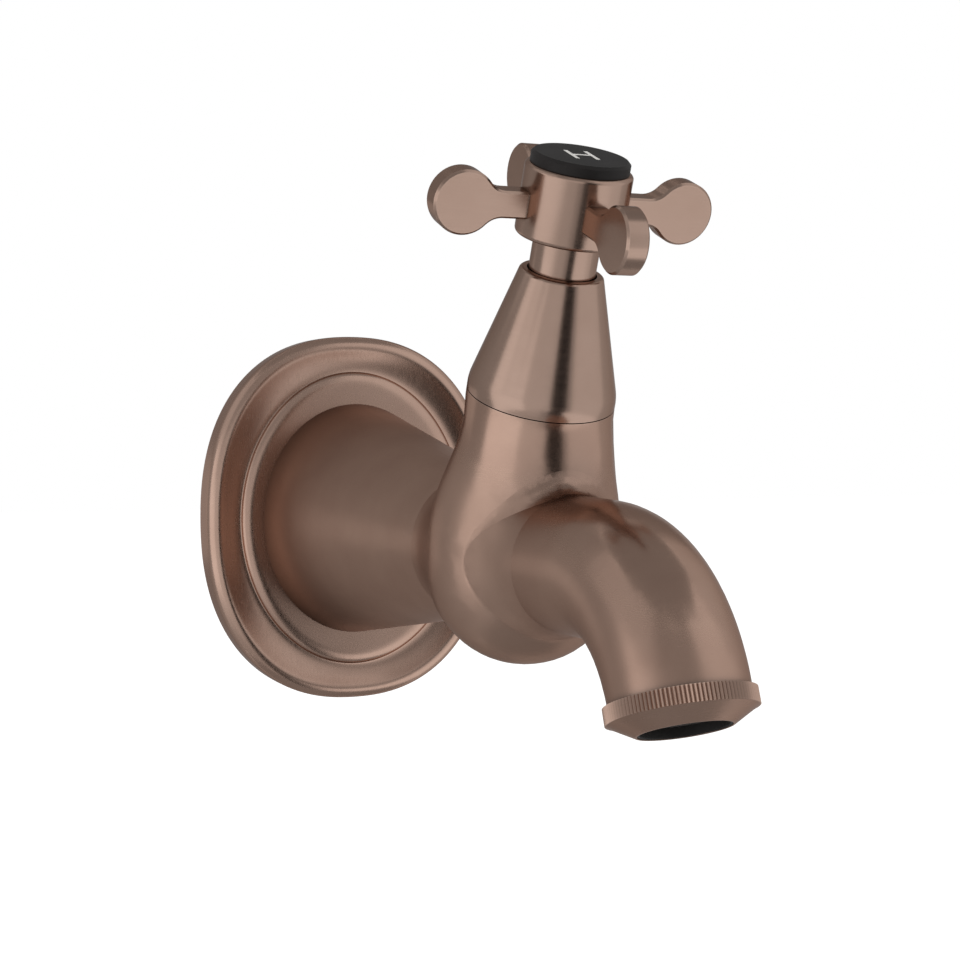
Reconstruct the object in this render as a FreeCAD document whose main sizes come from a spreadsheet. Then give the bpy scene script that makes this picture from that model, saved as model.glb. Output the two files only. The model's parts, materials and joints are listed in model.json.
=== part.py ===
import FreeCAD, Part
import Sketcher
import math
import os
from types import SimpleNamespace

# A wall-held hot-water bib tap with a long shank, a leaning stem and a cross handle.
# The wall is the plane Y = 0, the tap reaches out along -Y, and +Z is up.
# The origin is the middle of the inlet thread at the wall. Lengths are millimetres, angles degrees.

SIZES = {
    # Wall plate: stepped pressing, outlines given as half widths and half heights
    "plate_half_width": 36.4,
    "plate_half_height": 44.2,
    "plate_squareness": 2.29,
    "plate_depth": 9.0,
    "plate_bead": 2.9,
    "plate_sheet": 1.5,
    "plate_land": 0.4,
    "valley_half_width": 30.2,
    "valley_half_height": 36.4,
    "valley_depth": 7.3,
    "step_half_width": 28.3,
    "step_half_height": 35.5,
    "step_depth": 9.3,
    "step_bead": 1.6,
    "plate_hole_radius": 14.4,
    # Shank between the plate and the body
    "shank_half_width": 23.2,
    "shank_half_height": 27.7,
    "shank_end_radius": 14.4,
    "shank_end_reach": 88.0,
    "shank_end_drop": 1.4,
    "shank_wall": 3.0,
    "shank_core_reach": 80.0,
    # Leaning stem: its axis starts on the inlet axis and leans away from the wall
    "stem_reach": 106.55,
    "stem_lean": 22.57,
    "seam_height": 30.3,
    "neck_radius": 13.7,
    # Bulb under the neck
    "bulb_reach": 111.0,
    "bulb_drop": 3.8,
    "bulb_radius": 18.4,
    "bulb_side": 17.9,
    "root_blend": 5.5,
    "spout_blend": 4.0,
    # Spout
    "spout_axis_drop": 2.0,
    "spout_root_radius": 18.1,
    "spout_start_radius": 12.3,
    "spout_start_reach": 133.0,
    "spout_end_radius": 11.4,
    "outlet_reach": 170.9,
    "outlet_lean": 20.6,
    "spout_bend_radius": 27.5,
    "passage_radius": 8.6,
    "passage_start_reach": 116.6,
    # Waterway in the casting
    "inlet_tube_radius": 12.6,
    "inlet_tube_start": 5.0,
    "inlet_bore_radius": 5.2,
    "inlet_bore_drop": 3.0,
    "seat_height": 6.0,
    "seat_radius": 7.2,
    "seat_hole_radius": 4.2,
    "seat_well_depth": 5.0,
    "chamber_radius": 10.0,
    "trough_depth": 4.0,
    "headwork_thread_length": 12.3,
    # Inlet nipple, G 1/2 outside and G 3/8 inside
    "wall_thread_radius": 10.48,
    "wall_thread_length": 15.0,
    "nipple_thread_radius": 8.33,
    "nipple_thread_length": 12.0,
    "nipple_collar_radius": 12.2,
    "nipple_collar_width": 3.5,
    "nipple_bore_radius": 5.5,
    "nipple_lead": 0.8,
    "washer_thickness": 1.5,
    "strainer_thickness": 0.7,
    "strainer_hole": 1.4,
    # Headwork
    "headwork_thread_radius": 8.33,
    "headwork_gasket": 0.8,
    "headwork_key": 19.0,
    "headwork_key_height": 4.5,
    "skirt_radius": 7.6,
    "skirt_wall": 1.0,
    "skirt_foot_gap": 0.6,
    "thrust_gap": 0.15,
    "barrel_thread_radius": 7.0,
    "barrel_thread_length": 5.7,
    "barrel_radius": 6.2,
    "barrel_top_length": 4.8,
    "barrel_top_depth": 4.65,
    "window_width": 6.0,
    "window_height": 3.6,
    "seat_seal_thickness": 2.0,
    "disc_thickness": 2.6,
    "disc_gap": 0.05,
    "port_radius": 1.5,
    "port_offset": 2.6,
    "notch_radius": 2.6,
    "notch_offset": 4.4,
    # Spindle
    "spindle_radius": 4.0,
    "running_gap": 0.05,
    "spindle_foot_thickness": 2.8,
    "spindle_tongue": 2.8,
    "tongue_depth": 1.1,
    "thrust_washer_thickness": 0.8,
    "ring_thickness": 1.6,
    "ring_squeeze": 0.3,
    "lower_ring_rise": 7.0,
    "ring_spacing": 5.0,
    "clip_thickness": 0.8,
    "clip_groove_radius": 3.2,
    "clip_radius": 5.3,
    "spline_radius": 3.5,
    "spline_depth": 0.35,
    "spline_teeth": 20,
    "spline_foot_drop": 2.0,
    "spindle_top_gap": 0.2,
    # Bonnet
    "bonnet_base_radius": 13.7,
    "bonnet_shoulder": 2.0,
    "bonnet_shoulder_round": 9.0,
    "bonnet_seam_bevel": 0.2,
    "bonnet_height": 23.8,
    "bonnet_top_radius": 7.55,
    "bonnet_top_round": 0.7,
    "bonnet_wall": 1.2,
    "bonnet_mouth_gap": 0.3,
    "bonnet_throat_gap": 0.35,
    "bonnet_mouth_depth": 2.0,
    # Sleeve between bonnet and hub
    "sleeve_radius": 6.05,
    "sleeve_bore_gap": 0.3,
    "sleeve_in_bonnet": 3.35,
    "sleeve_shown": 6.16,
    # Cross handle
    "hub_radius": 9.6,
    "hub_height": 12.74,
    "hub_round": 0.8,
    "bush_height": 5.34,
    "hub_web": 1.0,
    "hub_recess_radius": 7.6,
    "bush_wall": 1.5,
    "arm_rise": 5.78,
    "arm_reach": 20.98,
    "arm_disc_radius": 5.7,
    "arm_thickness": 4.2,
    "arm_neck": 4.8,
    "arm_flare": 4.0,
    "arm_edge": 0.4,
    # Index cap and handle screw
    "cap_radius": 8.8,
    "cap_thickness": 2.06,
    "cap_edge": 0.5,
    "cap_plug_gap": 0.25,
    "cap_plug_depth": 3.8,
    "cap_plug_wall": 2.2,
    "screw_radius": 2.0,
    "screw_head_radius": 3.7,
    "screw_head_height": 2.0,
    "screw_length": 10.0,
    "screw_slot": 0.9,
    "screw_lead": 0.4,
    # Aerator
    "aerator_radius": 12.26,
    "aerator_band": 2.77,
    "aerator_cone": 2.34,
    "aerator_mouth_radius": 7.54,
    "aerator_lip": 0.7,
    "aerator_thread_radius": 10.0,
    "aerator_thread_length": 5.0,
    "aerator_wall": 1.3,
    "knurl_depth": 0.28,
    "knurl_count": 112,
    "insert_recess": 1.1,
    "insert_height": 6.2,
    "insert_rim": 1.1,
    "insert_slot_radius": 0.9,
    "insert_slot_offset": 5.1,
    "insert_slots": 8,
    "mesh_thickness": 0.4,
    "mesh_hole": 1.2,
    "aerator_washer_thickness": 1.6,
}

doc = FreeCAD.newDocument("bib_tap")
sheet = doc.addObject("Spreadsheet::Sheet", "sizes")
for row, (alias, number) in enumerate(SIZES.items(), 1):
    sheet.set(f"A{row}", alias)
    sheet.set(f"B{row}", str(number))
    sheet.setAlias(f"B{row}", alias)
doc.recompute()


class Formula:
    """A length worked out from cells of the sheet: its text for FreeCAD and its number for first placing."""

    def __init__(self, text, number):
        self.text = text
        self.number = number

    def __add__(self, other):
        other = formula(other)
        return Formula(f"({self.text} + {other.text})", self.number + other.number)

    def __sub__(self, other):
        other = formula(other)
        return Formula(f"({self.text} - {other.text})", self.number - other.number)

    def __mul__(self, other):
        other = formula(other)
        return Formula(f"({self.text} * {other.text})", self.number * other.number)

    def __truediv__(self, other):
        other = formula(other)
        return Formula(f"({self.text} / {other.text})", self.number / other.number)

    def __radd__(self, other):
        return formula(other) + self

    def __rsub__(self, other):
        return formula(other) - self

    def __rmul__(self, other):
        return formula(other) * self

    def __neg__(self):
        return Formula(f"(-{self.text})", -self.number)


def formula(value):
    """A plain number or a formula, as a formula."""
    if isinstance(value, Formula):
        return value
    return Formula(f"{value:.6g}", float(value))


def sine(angle):
    return Formula(f"sin({angle.text} * 1 deg)", math.sin(math.radians(angle.number)))


def cosine(angle):
    return Formula(f"cos({angle.text} * 1 deg)", math.cos(math.radians(angle.number)))


def root(value):
    return Formula(f"sqrt({value.text})", math.sqrt(value.number))


S = SimpleNamespace(**{alias: Formula(f"sizes.{alias}", float(getattr(sheet, alias))) for alias in SIZES})


def bind(thing, **values):
    """Ties properties of an object to formulas."""
    for name, value in values.items():
        thing.setExpression(name, formula(value).text)


def frame(reach, drop, turn):
    """A local frame in the plane of symmetry: its origin, and its turn about X in degrees."""
    return SimpleNamespace(y=-formula(reach), z=-formula(drop), turn=formula(turn))


# Leaning stem: heights are measured along its axis from the inlet axis
STEM = frame(S.stem_reach, 0, S.stem_lean)

# Heights along the stem, from the seat of the headwork up to the top of the hub
chamber_floor = S.seat_height - S.trough_depth
chamber_top = S.seam_height - S.headwork_thread_length
bonnet_top = S.seam_height + S.bonnet_height
hub_foot = bonnet_top + S.sleeve_shown
hub_top = hub_foot + S.hub_height
hub_web_low = hub_foot + S.bush_height

# Outlet: heights are measured up the outlet axis from the mouth of the aerator
outlet_length = S.aerator_band + S.aerator_cone
spout_end_drop = S.spout_axis_drop + S.spout_bend_radius * (1 - sine(S.outlet_lean))
OUTLET = frame(
    S.outlet_reach + outlet_length * sine(S.outlet_lean),
    spout_end_drop + outlet_length * cosine(S.outlet_lean),
    -S.outlet_lean,
)

# Inlet: heights are measured out of the wall from the far end of the wall thread
INLET = frame(-S.wall_thread_length, 0, 90)

# Wall: heights are measured out of the wall
WALL = frame(0, 0, 90)


def place(thing, where, along=0, aside=0, spin=0):
    """Puts a piece in a local frame, at a height along its axis and moved aside along its own Y."""
    along = formula(along)
    aside = formula(aside)
    turned = FreeCAD.Rotation(FreeCAD.Vector(1, 0, 0), where.turn.number)
    turned = turned.multiply(FreeCAD.Rotation(FreeCAD.Vector(0, 0, 1), spin))
    y = where.y - along * sine(where.turn) + aside * cosine(where.turn)
    z = where.z + along * cosine(where.turn) + aside * sine(where.turn)
    thing.Placement = FreeCAD.Placement(FreeCAD.Vector(0, y.number, z.number), turned)
    thing.setExpression("Placement.Base.y", y.text)
    thing.setExpression("Placement.Base.z", z.text)
    if spin == 0:
        thing.setExpression("Placement.Rotation.Angle", where.turn.text)
    return thing


def cylinder(name, radius, height, where, along=0, aside=0):
    thing = doc.addObject("Part::Cylinder", name)
    bind(thing, Radius=radius, Height=height)
    return place(thing, where, along, aside)


def cone(name, low_radius, high_radius, height, where, along=0):
    thing = doc.addObject("Part::Cone", name)
    bind(thing, Radius1=low_radius, Radius2=high_radius, Height=height)
    return place(thing, where, along)


def cut(name, base, *tools):
    thing = doc.addObject("Part::Cut", name)
    thing.Base = base
    thing.Tool = tools[0] if len(tools) == 1 else fuse(name + "_tools", *tools)
    return thing


def fuse(name, *pieces):
    thing = doc.addObject("Part::MultiFuse", name)
    thing.Shapes = list(pieces)
    return thing


def washer(name, inner, outer, thickness, where, along=0):
    """A flat ring."""
    disc = cylinder(name + "_disc", outer, thickness, where, along)
    hole = cylinder(name + "_hole", inner, thickness, where, along)
    return cut(name, disc, hole)


def o_ring(name, major, minor, where, along):
    thing = doc.addObject("Part::Torus", name)
    bind(thing, Radius1=major, Radius2=minor)
    return place(thing, where, along)


def origin_plane(body, role):
    return [part for part in body.Origin.OriginFeatures if part.Role == role][0]


def sketch_on(body, role, name):
    sketch = body.newObject("Sketcher::SketchObject", name)
    sketch.AttachmentSupport = [(origin_plane(body, role), "")]
    sketch.MapMode = "FlatFace"
    return sketch


def pin_point(sketch, line, end, x, y):
    """Places one end of a line by its distances from the sketch's axes."""
    for kind, value in (("DistanceX", x), ("DistanceY", y)):
        if value.number == 0 and value.text == "0":
            axis = -2 if kind == "DistanceX" else -1
            sketch.addConstraint(Sketcher.Constraint("PointOnObject", line, end, axis))
        else:
            index = sketch.addConstraint(Sketcher.Constraint(kind, -1, 1, line, end, value.number))
            sketch.setExpression(f"Constraints[{index}]", value.text)


def outline(body, role, name, corners):
    """A closed outline of straight lines through corners given as formulas."""
    sketch = sketch_on(body, role, name)
    corners = [(formula(x), formula(y)) for x, y in corners]
    points = [FreeCAD.Vector(x.number, y.number, 0) for x, y in corners]
    count = len(points)
    for index in range(count):
        sketch.addGeometry(Part.LineSegment(points[index], points[(index + 1) % count]))
    for index in range(count):
        sketch.addConstraint(Sketcher.Constraint("Coincident", index, 2, (index + 1) % count, 1))
    for index, (x, y) in enumerate(corners):
        pin_point(sketch, index, 1, x, y)
    return sketch


def turned_body(name, where, corners, spin=0):
    """A body of revolution: corners are radius and height."""
    body = doc.addObject("PartDesign::Body", name)
    sketch = outline(body, "XZ_Plane", name + "_profile", corners)
    turn = body.newObject("PartDesign::Revolution", name + "_turn")
    turn.Profile = sketch
    turn.ReferenceAxis = (sketch, ["V_Axis"])
    turn.Angle = 360
    body.Tip = turn
    place(body, where, 0, 0, spin)
    doc.recompute()
    return body


def circle_edges(shape, radius, height):
    """Names of the full circles of a turned shape at a radius and a height."""
    names = []
    for index, edge in enumerate(shape.Edges, 1):
        curve = edge.Curve
        if not hasattr(curve, "Radius") or not hasattr(curve, "Center"):
            continue
        if abs(curve.Radius - radius) < 1e-4 and abs(curve.Center.z - height) < 1e-4:
            names.append(f"Edge{index}")
    return names


def soften(body, kind, name, size, rims):
    """Rounds or bevels rims of a body, each given as radius and height in the body's own frame."""
    previous = body.Tip
    names = []
    for radius, height in rims:
        names += circle_edges(previous.Shape, formula(radius).number, formula(height).number)
    feature = body.newObject("PartDesign::" + kind, name)
    feature.Base = (previous, names)
    bind(feature, **{"Radius" if kind == "Fillet" else "Size": size})
    body.Tip = feature
    doc.recompute()
    return feature


def pocket_through(body, sketch, name):
    """Cuts an outline right through a body, both ways."""
    feature = body.newObject("PartDesign::Pocket", name)
    feature.Profile = sketch
    feature.Type = "ThroughAll"
    feature.Midplane = True
    body.Tip = feature
    doc.recompute()
    return feature


def hole_circle(body, role, name, radius, across):
    """A circle in a sketch, moved along the sketch's X."""
    sketch = sketch_on(body, role, name)
    sketch.addGeometry(Part.Circle(FreeCAD.Vector(formula(across).number, 0, 0), FreeCAD.Vector(0, 0, 1),
                                   formula(radius).number))
    index = sketch.addConstraint(Sketcher.Constraint("Radius", 0, formula(radius).number))
    sketch.setExpression(f"Constraints[{index}]", formula(radius).text)
    sketch.addConstraint(Sketcher.Constraint("PointOnObject", 0, 3, -1))
    index = sketch.addConstraint(Sketcher.Constraint("DistanceX", -1, 1, 0, 3, formula(across).number))
    sketch.setExpression(f"Constraints[{index}]", formula(across).text)
    return sketch


def star(name, radius, depth, teeth, height):
    """A prism with straight teeth all round."""
    points = []
    for index in range(2 * teeth):
        reach = radius - depth * (index % 2)
        angle = math.pi * index / teeth
        points.append(FreeCAD.Vector(reach * math.cos(angle), reach * math.sin(angle), 0))
    thing = doc.addObject("Part::Feature", name)
    thing.Shape = Part.Face(Part.makePolygon(points + points[:1])).extrude(FreeCAD.Vector(0, 0, height))
    return thing


def square_hole(body, name, side, across):
    """A square in a sketch, moved along the sketch's X."""
    half = side / 2
    return outline(body, "XY_Plane", name, [(across - half, -half), (across + half, -half),
                                            (across + half, half), (across - half, half)])


def around_axis(body, feature, sketch, name, count):
    """Repeats a feature evenly round the body's own axis."""
    pattern = body.newObject("PartDesign::PolarPattern", name)
    pattern.Originals = [feature]
    pattern.Axis = (sketch, ["N_Axis"])
    pattern.Angle = 360
    pattern.Occurrences = int(formula(count).number)
    if isinstance(count, Formula):
        pattern.setExpression("Occurrences", count.text)
    body.Tip = pattern
    doc.recompute()
    return pattern


nodes = {}


def node(name, thing):
    """Names a finished piece."""
    thing.Label = name
    nodes[name] = thing
    return thing


# Wall plate
# The outlines are superellipses, so the plate is worked out from formulas and not from a sketch.

def oval(half_width, half_height, squareness, height):
    """A closed superellipse across the wall plate's axis."""
    count = 32
    points = []
    for index in range(count):
        angle = 2 * math.pi * index / count
        across = math.copysign(abs(math.cos(angle)) ** (2 / squareness), math.cos(angle))
        up = math.copysign(abs(math.sin(angle)) ** (2 / squareness), math.sin(angle))
        points.append(FreeCAD.Vector(half_width * across, half_height * up, height))
    curve = Part.BSplineCurve()
    curve.interpolate(Points=points, PeriodicFlag=True)
    return Part.Wire([curve.toShape()])


def beaded(half_width, half_height, squareness, low, high, bead):
    """A closed plug with straight sides and a rounded rim, as a stack of outlines."""
    steps = 5
    rings = [oval(half_width[0], half_height[0], squareness, low)]
    for step in range(steps + 1):
        angle = math.pi / 2 * step / steps
        inset = bead * (1 - math.cos(angle))
        rings.append(oval(half_width[1] - inset, half_height[1] - inset, squareness,
                          high - bead + bead * math.sin(angle)))
    return Part.makeLoft(rings, True, True)


def make_wall_flange():
    round_oval = 2.0
    square = sheet.plate_squareness
    low = beaded([sheet.plate_half_width] * 2, [sheet.plate_half_height] * 2, square, 0, sheet.plate_depth,
                 sheet.plate_bead)
    middle_share = 0.4
    middle_squareness = (square + round_oval) / 2
    valley_top_width = sheet.plate_half_width - sheet.plate_bead - sheet.plate_land
    valley_top_height = sheet.plate_half_height - sheet.plate_bead - sheet.plate_land
    middle_half_width = (valley_top_width + sheet.valley_half_width) / 2
    middle_half_height = (valley_top_height + sheet.valley_half_height) / 2
    middle_depth = sheet.valley_depth + middle_share * (sheet.plate_depth - sheet.valley_depth)
    valley = Part.makeLoft([oval(sheet.valley_half_width, sheet.valley_half_height, round_oval,
                                 sheet.valley_depth),
                            oval(middle_half_width, middle_half_height, middle_squareness, middle_depth),
                            oval(valley_top_width, valley_top_height, square, sheet.plate_depth)],
                           True, True)
    step = beaded([sheet.valley_half_width, sheet.step_half_width],
                  [sheet.valley_half_height, sheet.step_half_height], round_oval, sheet.valley_depth,
                  sheet.step_depth, sheet.step_bead)
    back_width = sheet.plate_half_width - sheet.plate_sheet
    back_height = sheet.plate_half_height - sheet.plate_sheet
    back = Part.makeLoft([oval(back_width, back_height, square, 0),
                          oval(back_width, back_height, square, sheet.plate_depth - sheet.plate_bead),
                          oval(sheet.valley_half_width, sheet.valley_half_height, round_oval,
                               sheet.valley_depth - sheet.plate_sheet)], True, True)
    deep_inset = sheet.plate_sheet + sheet.step_bead
    deep_width = sheet.step_half_width - deep_inset
    deep_height = sheet.step_half_height - deep_inset
    deep = Part.makeLoft([oval(deep_width, deep_height, round_oval, 0),
                          oval(deep_width, deep_height, round_oval, sheet.step_depth - sheet.plate_sheet)],
                         True, True)
    hole = Part.makeCylinder(sheet.plate_hole_radius, sheet.step_depth)
    return low.cut(valley).fuse(step).cut(back).cut(deep).cut(hole)


wall_flange = doc.addObject("Part::Feature", "wall_flange_plate")
wall_flange.Shape = make_wall_flange()
place(wall_flange, WALL)
node("wall_flange", wall_flange)

flange_ring_minor = (S.plate_hole_radius - S.inlet_tube_radius) / 2
node("flange_o_ring", o_ring("flange_ring", S.inlet_tube_radius + flange_ring_minor, flange_ring_minor, WALL,
                             S.step_depth - S.plate_sheet / 2))


# Tap body: shank, bulb, neck and spout in one casting

def ring_section(name, where, along, radius, aside=0, spin=0):
    thing = doc.addObject("Part::Circle", name)
    bind(thing, Radius=radius)
    return place(thing, where, along, aside, spin)


def oval_section(name, half_width, half_height, where, along):
    thing = doc.addObject("Part::Ellipse", name)
    thing.MajorRadius = half_height.number
    thing.MinorRadius = half_width.number
    bind(thing, MajorRadius=half_height, MinorRadius=half_width)
    return place(thing, where, along, 0, 90)


def loft(name, sections, ruled):
    thing = doc.addObject("Part::Loft", name)
    thing.Sections = sections
    thing.Solid = True
    thing.Ruled = ruled
    return thing


shank = loft("shank", [oval_section("shank_root", S.shank_half_width, S.shank_half_height, WALL, S.step_depth),
                       ring_section("shank_end", WALL, S.shank_end_reach, S.shank_end_radius,
                                    -S.shank_end_drop, 90)], True)

# The sides of the shank swell softly to the width of the bulb, its top and bottom run straight in
SWELL = (
    # share of the way to the bulb's middle, share of the swelling
    (0.0, 0.0),
    (0.25, 0.10),
    (0.5, 0.45),
    (0.75, 0.85),
    (1.0, 1.0),
)


def swell_section(name, along, half_width):
    thing = doc.addObject("Part::Ellipse", name)
    thing.MajorRadius = half_width.number
    thing.MinorRadius = S.shank_end_radius.number
    bind(thing, MajorRadius=half_width, MinorRadius=S.shank_end_radius)
    return place(thing, WALL, along, -S.shank_end_drop)


shank_neck = loft("shank_neck", [
    swell_section(f"shank_swell_{number}", S.shank_end_reach + (S.bulb_reach - S.shank_end_reach) * way,
                  S.shank_end_radius + (S.bulb_side - S.shank_end_radius) * swelling)
    for number, (way, swelling) in enumerate(SWELL)], False)

# Neck and bulb: one pear of circles square to the stem, whose middles move forward on the way down
bulb_height = (S.bulb_reach - S.stem_reach) * sine(S.stem_lean) - S.bulb_drop * cosine(S.stem_lean)
bulb_forward = (S.bulb_reach - S.stem_reach) * cosine(S.stem_lean) + S.bulb_drop * sine(S.stem_lean)
NECK = (
    # share of the way down from the seam to the bulb's middle, share of the swelling, share of the shift
    (0.00, 0.00, 0.00),
    (0.12, 0.03, 0.13),
    (0.24, 0.11, 0.33),
    (0.36, 0.27, 0.40),
    (0.545, 0.60, 0.48),
    (0.75, 0.93, 0.66),
)
BULB_RINGS = 5
pear_rings = []
for number, (down, swelling, shift) in enumerate(NECK):
    pear_rings.append(ring_section(f"neck_{number}", STEM, S.seam_height - (S.seam_height - bulb_height) * down,
                                   S.neck_radius + (S.bulb_radius - S.neck_radius) * swelling,
                                   -bulb_forward * shift))
for number in range(BULB_RINGS):
    turn = formula(90 * (number + 0.1) / BULB_RINGS)
    pear_rings.append(ring_section(f"bulb_{number}", STEM, bulb_height - S.bulb_radius * sine(turn),
                                   S.bulb_radius * cosine(turn), -bulb_forward))
pear_tip = place(doc.addObject("Part::Vertex", "bulb_tip"), STEM, bulb_height - S.bulb_radius, -bulb_forward)
pear = loft("pear", pear_rings + [pear_tip], False)

# Spout: a level run and one bend down to the outlet
spout_run_reach = S.outlet_reach - S.spout_bend_radius * cosine(S.outlet_lean)


def spout_path(name, start_reach):
    """A level line and an arc in the plane of symmetry, as a sketch on the YZ plane."""
    sketch = doc.addObject("Sketcher::SketchObject", name)
    sketch.Placement = FreeCAD.Placement(FreeCAD.Vector(), FreeCAD.Rotation(0.5, 0.5, 0.5, 0.5))
    start_x = -formula(start_reach)
    knee_x = -spout_run_reach
    level = -S.spout_axis_drop
    centre_y = level - S.spout_bend_radius
    start = FreeCAD.Vector(start_x.number, level.number, 0)
    knee = FreeCAD.Vector(knee_x.number, level.number, 0)
    centre = FreeCAD.Vector(knee_x.number, centre_y.number, 0)
    end_angle = math.pi - math.radians(S.outlet_lean.number)
    circle = Part.Circle(centre, FreeCAD.Vector(0, 0, 1), S.spout_bend_radius.number)
    sketch.addGeometry(Part.LineSegment(start, knee))
    sketch.addGeometry(Part.ArcOfCircle(circle, math.pi / 2, end_angle))
    sketch.addConstraint(Sketcher.Constraint("Coincident", 0, 2, 1, 1))
    pin_point(sketch, 0, 1, start_x, level)
    pin_point(sketch, 0, 2, knee_x, level)
    pin_point(sketch, 1, 3, knee_x, centre_y)
    end_x = knee_x - S.spout_bend_radius * cosine(S.outlet_lean)
    index = sketch.addConstraint(Sketcher.Constraint("DistanceX", -1, 1, 1, 2, end_x.number))
    sketch.setExpression(f"Constraints[{index}]", end_x.text)
    return sketch


def swept(name, path, sections):
    thing = doc.addObject("Part::Sweep", name)
    thing.Sections = sections
    thing.Spine = (path, ["Edge1", "Edge2"])
    thing.Solid = True
    thing.Frenet = False
    return thing


LEVEL = frame(0, S.spout_axis_drop, 90)
SPOUT_ROOT = (
    # share of the way from the bulb's middle to the start of the plain spout, share of the swelling
    (0.0, 1.0),
    (0.32, 0.78),
    (0.60, 0.38),
    (0.80, 0.12),
    (1.0, 0.0),
)
spout_root = loft("spout_root", [
    ring_section(f"spout_root_{number}", LEVEL, S.bulb_reach + (S.spout_start_reach - S.bulb_reach) * way,
                 S.spout_start_radius + (S.spout_root_radius - S.spout_start_radius) * swelling)
    for number, (way, swelling) in enumerate(SPOUT_ROOT)], False)
spout = swept("spout", spout_path("spout_path", S.spout_start_reach),
              [ring_section("spout_start", LEVEL, S.spout_start_reach, S.spout_start_radius),
               ring_section("spout_end", OUTLET, outlet_length, S.spout_end_radius)])
sharp_casting = fuse("sharp_casting", pear, shank, shank_neck, spout_root, spout)
doc.recompute()


def on_both(edge, one, other):
    """Whether an edge lies on the skins of two solids."""
    middle = Part.Vertex(edge.valueAt((edge.FirstParameter + edge.LastParameter) / 2))
    return all(middle.distToShape(thing.Shape.Shells[0])[0] < 0.001 for thing in (one, other))


# Soft blends where the shank and the spout grow out of the pear
blends = []
for number, edge in enumerate(sharp_casting.Shape.Edges, 1):
    if edge.Degenerated:
        continue
    if on_both(edge, pear, shank_neck):
        blends.append((number, sheet.root_blend, sheet.root_blend))
    elif on_both(edge, pear, spout_root):
        blends.append((number, sheet.spout_blend, sheet.spout_blend))
casting = doc.addObject("Part::Fillet", "casting")
casting.Base = sharp_casting
casting.Edges = blends

# Hollow of the shank, round the inlet tube
core = loft("shank_core", [
    oval_section("core_root", S.shank_half_width - S.shank_wall, S.shank_half_height - S.shank_wall, WALL,
                 S.step_depth),
    ring_section("core_end", WALL, S.shank_core_reach, S.shank_end_radius - S.shank_wall,
                 -S.shank_end_drop, 90)], True)
hollow_casting = cut("hollow_casting", casting, core)
inlet_tube = cylinder("inlet_tube", S.inlet_tube_radius, S.shank_core_reach - S.inlet_tube_start, WALL,
                      S.inlet_tube_start)
full_casting = fuse("full_casting", hollow_casting, inlet_tube)

# Waterway: inlet bore, well under the seat, chamber round the seat, thread for the headwork, spout passage
nipple_seat_reach = (S.inlet_tube_start + S.nipple_thread_length + S.washer_thickness
                     + S.strainer_thickness)
inlet_thread = cylinder("inlet_thread_bore", S.nipple_thread_radius,
                        nipple_seat_reach - S.inlet_tube_start, WALL, S.inlet_tube_start)
BORE = frame(0, S.inlet_bore_drop, 90)
inlet_bore = cylinder("inlet_bore", S.inlet_bore_radius, S.stem_reach + S.seat_hole_radius / 2
                      - S.inlet_tube_start, BORE, S.inlet_tube_start)
seat_hole = cylinder("seat_hole", S.seat_hole_radius, S.seat_height + S.seat_well_depth, STEM,
                     -S.seat_well_depth)
chamber = cylinder("chamber", S.chamber_radius, chamber_top - chamber_floor, STEM,
                   chamber_floor)
chamber_roof = cone("chamber_roof", S.chamber_radius, S.headwork_thread_radius,
                    S.chamber_radius - S.headwork_thread_radius, STEM, chamber_top)
seat = cylinder("seat", S.seat_radius, S.seat_height - chamber_floor, STEM, chamber_floor)
trough = cut("trough", fuse("chamber_space", chamber, chamber_roof), seat)
headwork_bore = cylinder("headwork_bore", S.headwork_thread_radius, S.headwork_thread_length, STEM,
                         chamber_top)
passage = swept("passage", spout_path("passage_path", S.passage_start_reach),
                [ring_section("passage_start", LEVEL, S.passage_start_reach, S.passage_radius),
                 ring_section("passage_end", OUTLET, outlet_length, S.passage_radius)])
aerator_seat_height = S.aerator_thread_length + S.aerator_washer_thickness
aerator_bore = cylinder("aerator_bore", S.aerator_thread_radius, aerator_seat_height, OUTLET, outlet_length)
tap_body = cut("tap_body_casting", full_casting, inlet_thread, inlet_bore, seat_hole, trough, headwork_bore,
               passage, aerator_bore)
node("tap_body", tap_body)


# Inlet nipple, its seal, washer and strainer
collar_end = S.wall_thread_length + S.nipple_collar_width
nipple_end = S.wall_thread_length + S.inlet_tube_start + S.nipple_thread_length
inlet_nipple = turned_body("inlet_nipple_body", INLET, [
    (S.nipple_bore_radius, 0),
    (S.wall_thread_radius, 0),
    (S.wall_thread_radius, S.wall_thread_length),
    (S.nipple_collar_radius, S.wall_thread_length),
    (S.nipple_collar_radius, collar_end),
    (S.nipple_thread_radius, collar_end),
    (S.nipple_thread_radius, nipple_end),
    (S.nipple_bore_radius, nipple_end),
])
soften(inlet_nipple, "Chamfer", "nipple_lead", S.nipple_lead, [(S.wall_thread_radius, 0)])
node("inlet_nipple", inlet_nipple)
node("nipple_seal", washer("nipple_seal_ring", S.nipple_thread_radius, S.nipple_collar_radius,
                           S.inlet_tube_start - S.nipple_collar_width, INLET, collar_end))
node("strainer_washer", washer("strainer_washer_ring", S.nipple_bore_radius, S.nipple_thread_radius,
                               S.washer_thickness, INLET, nipple_end))
strainer = turned_body("strainer_body", INLET, [
    (0, nipple_end + S.washer_thickness),
    (S.nipple_thread_radius, nipple_end + S.washer_thickness),
    (S.nipple_thread_radius, nipple_end + S.washer_thickness + S.strainer_thickness),
    (0, nipple_end + S.washer_thickness + S.strainer_thickness),
])
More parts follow.
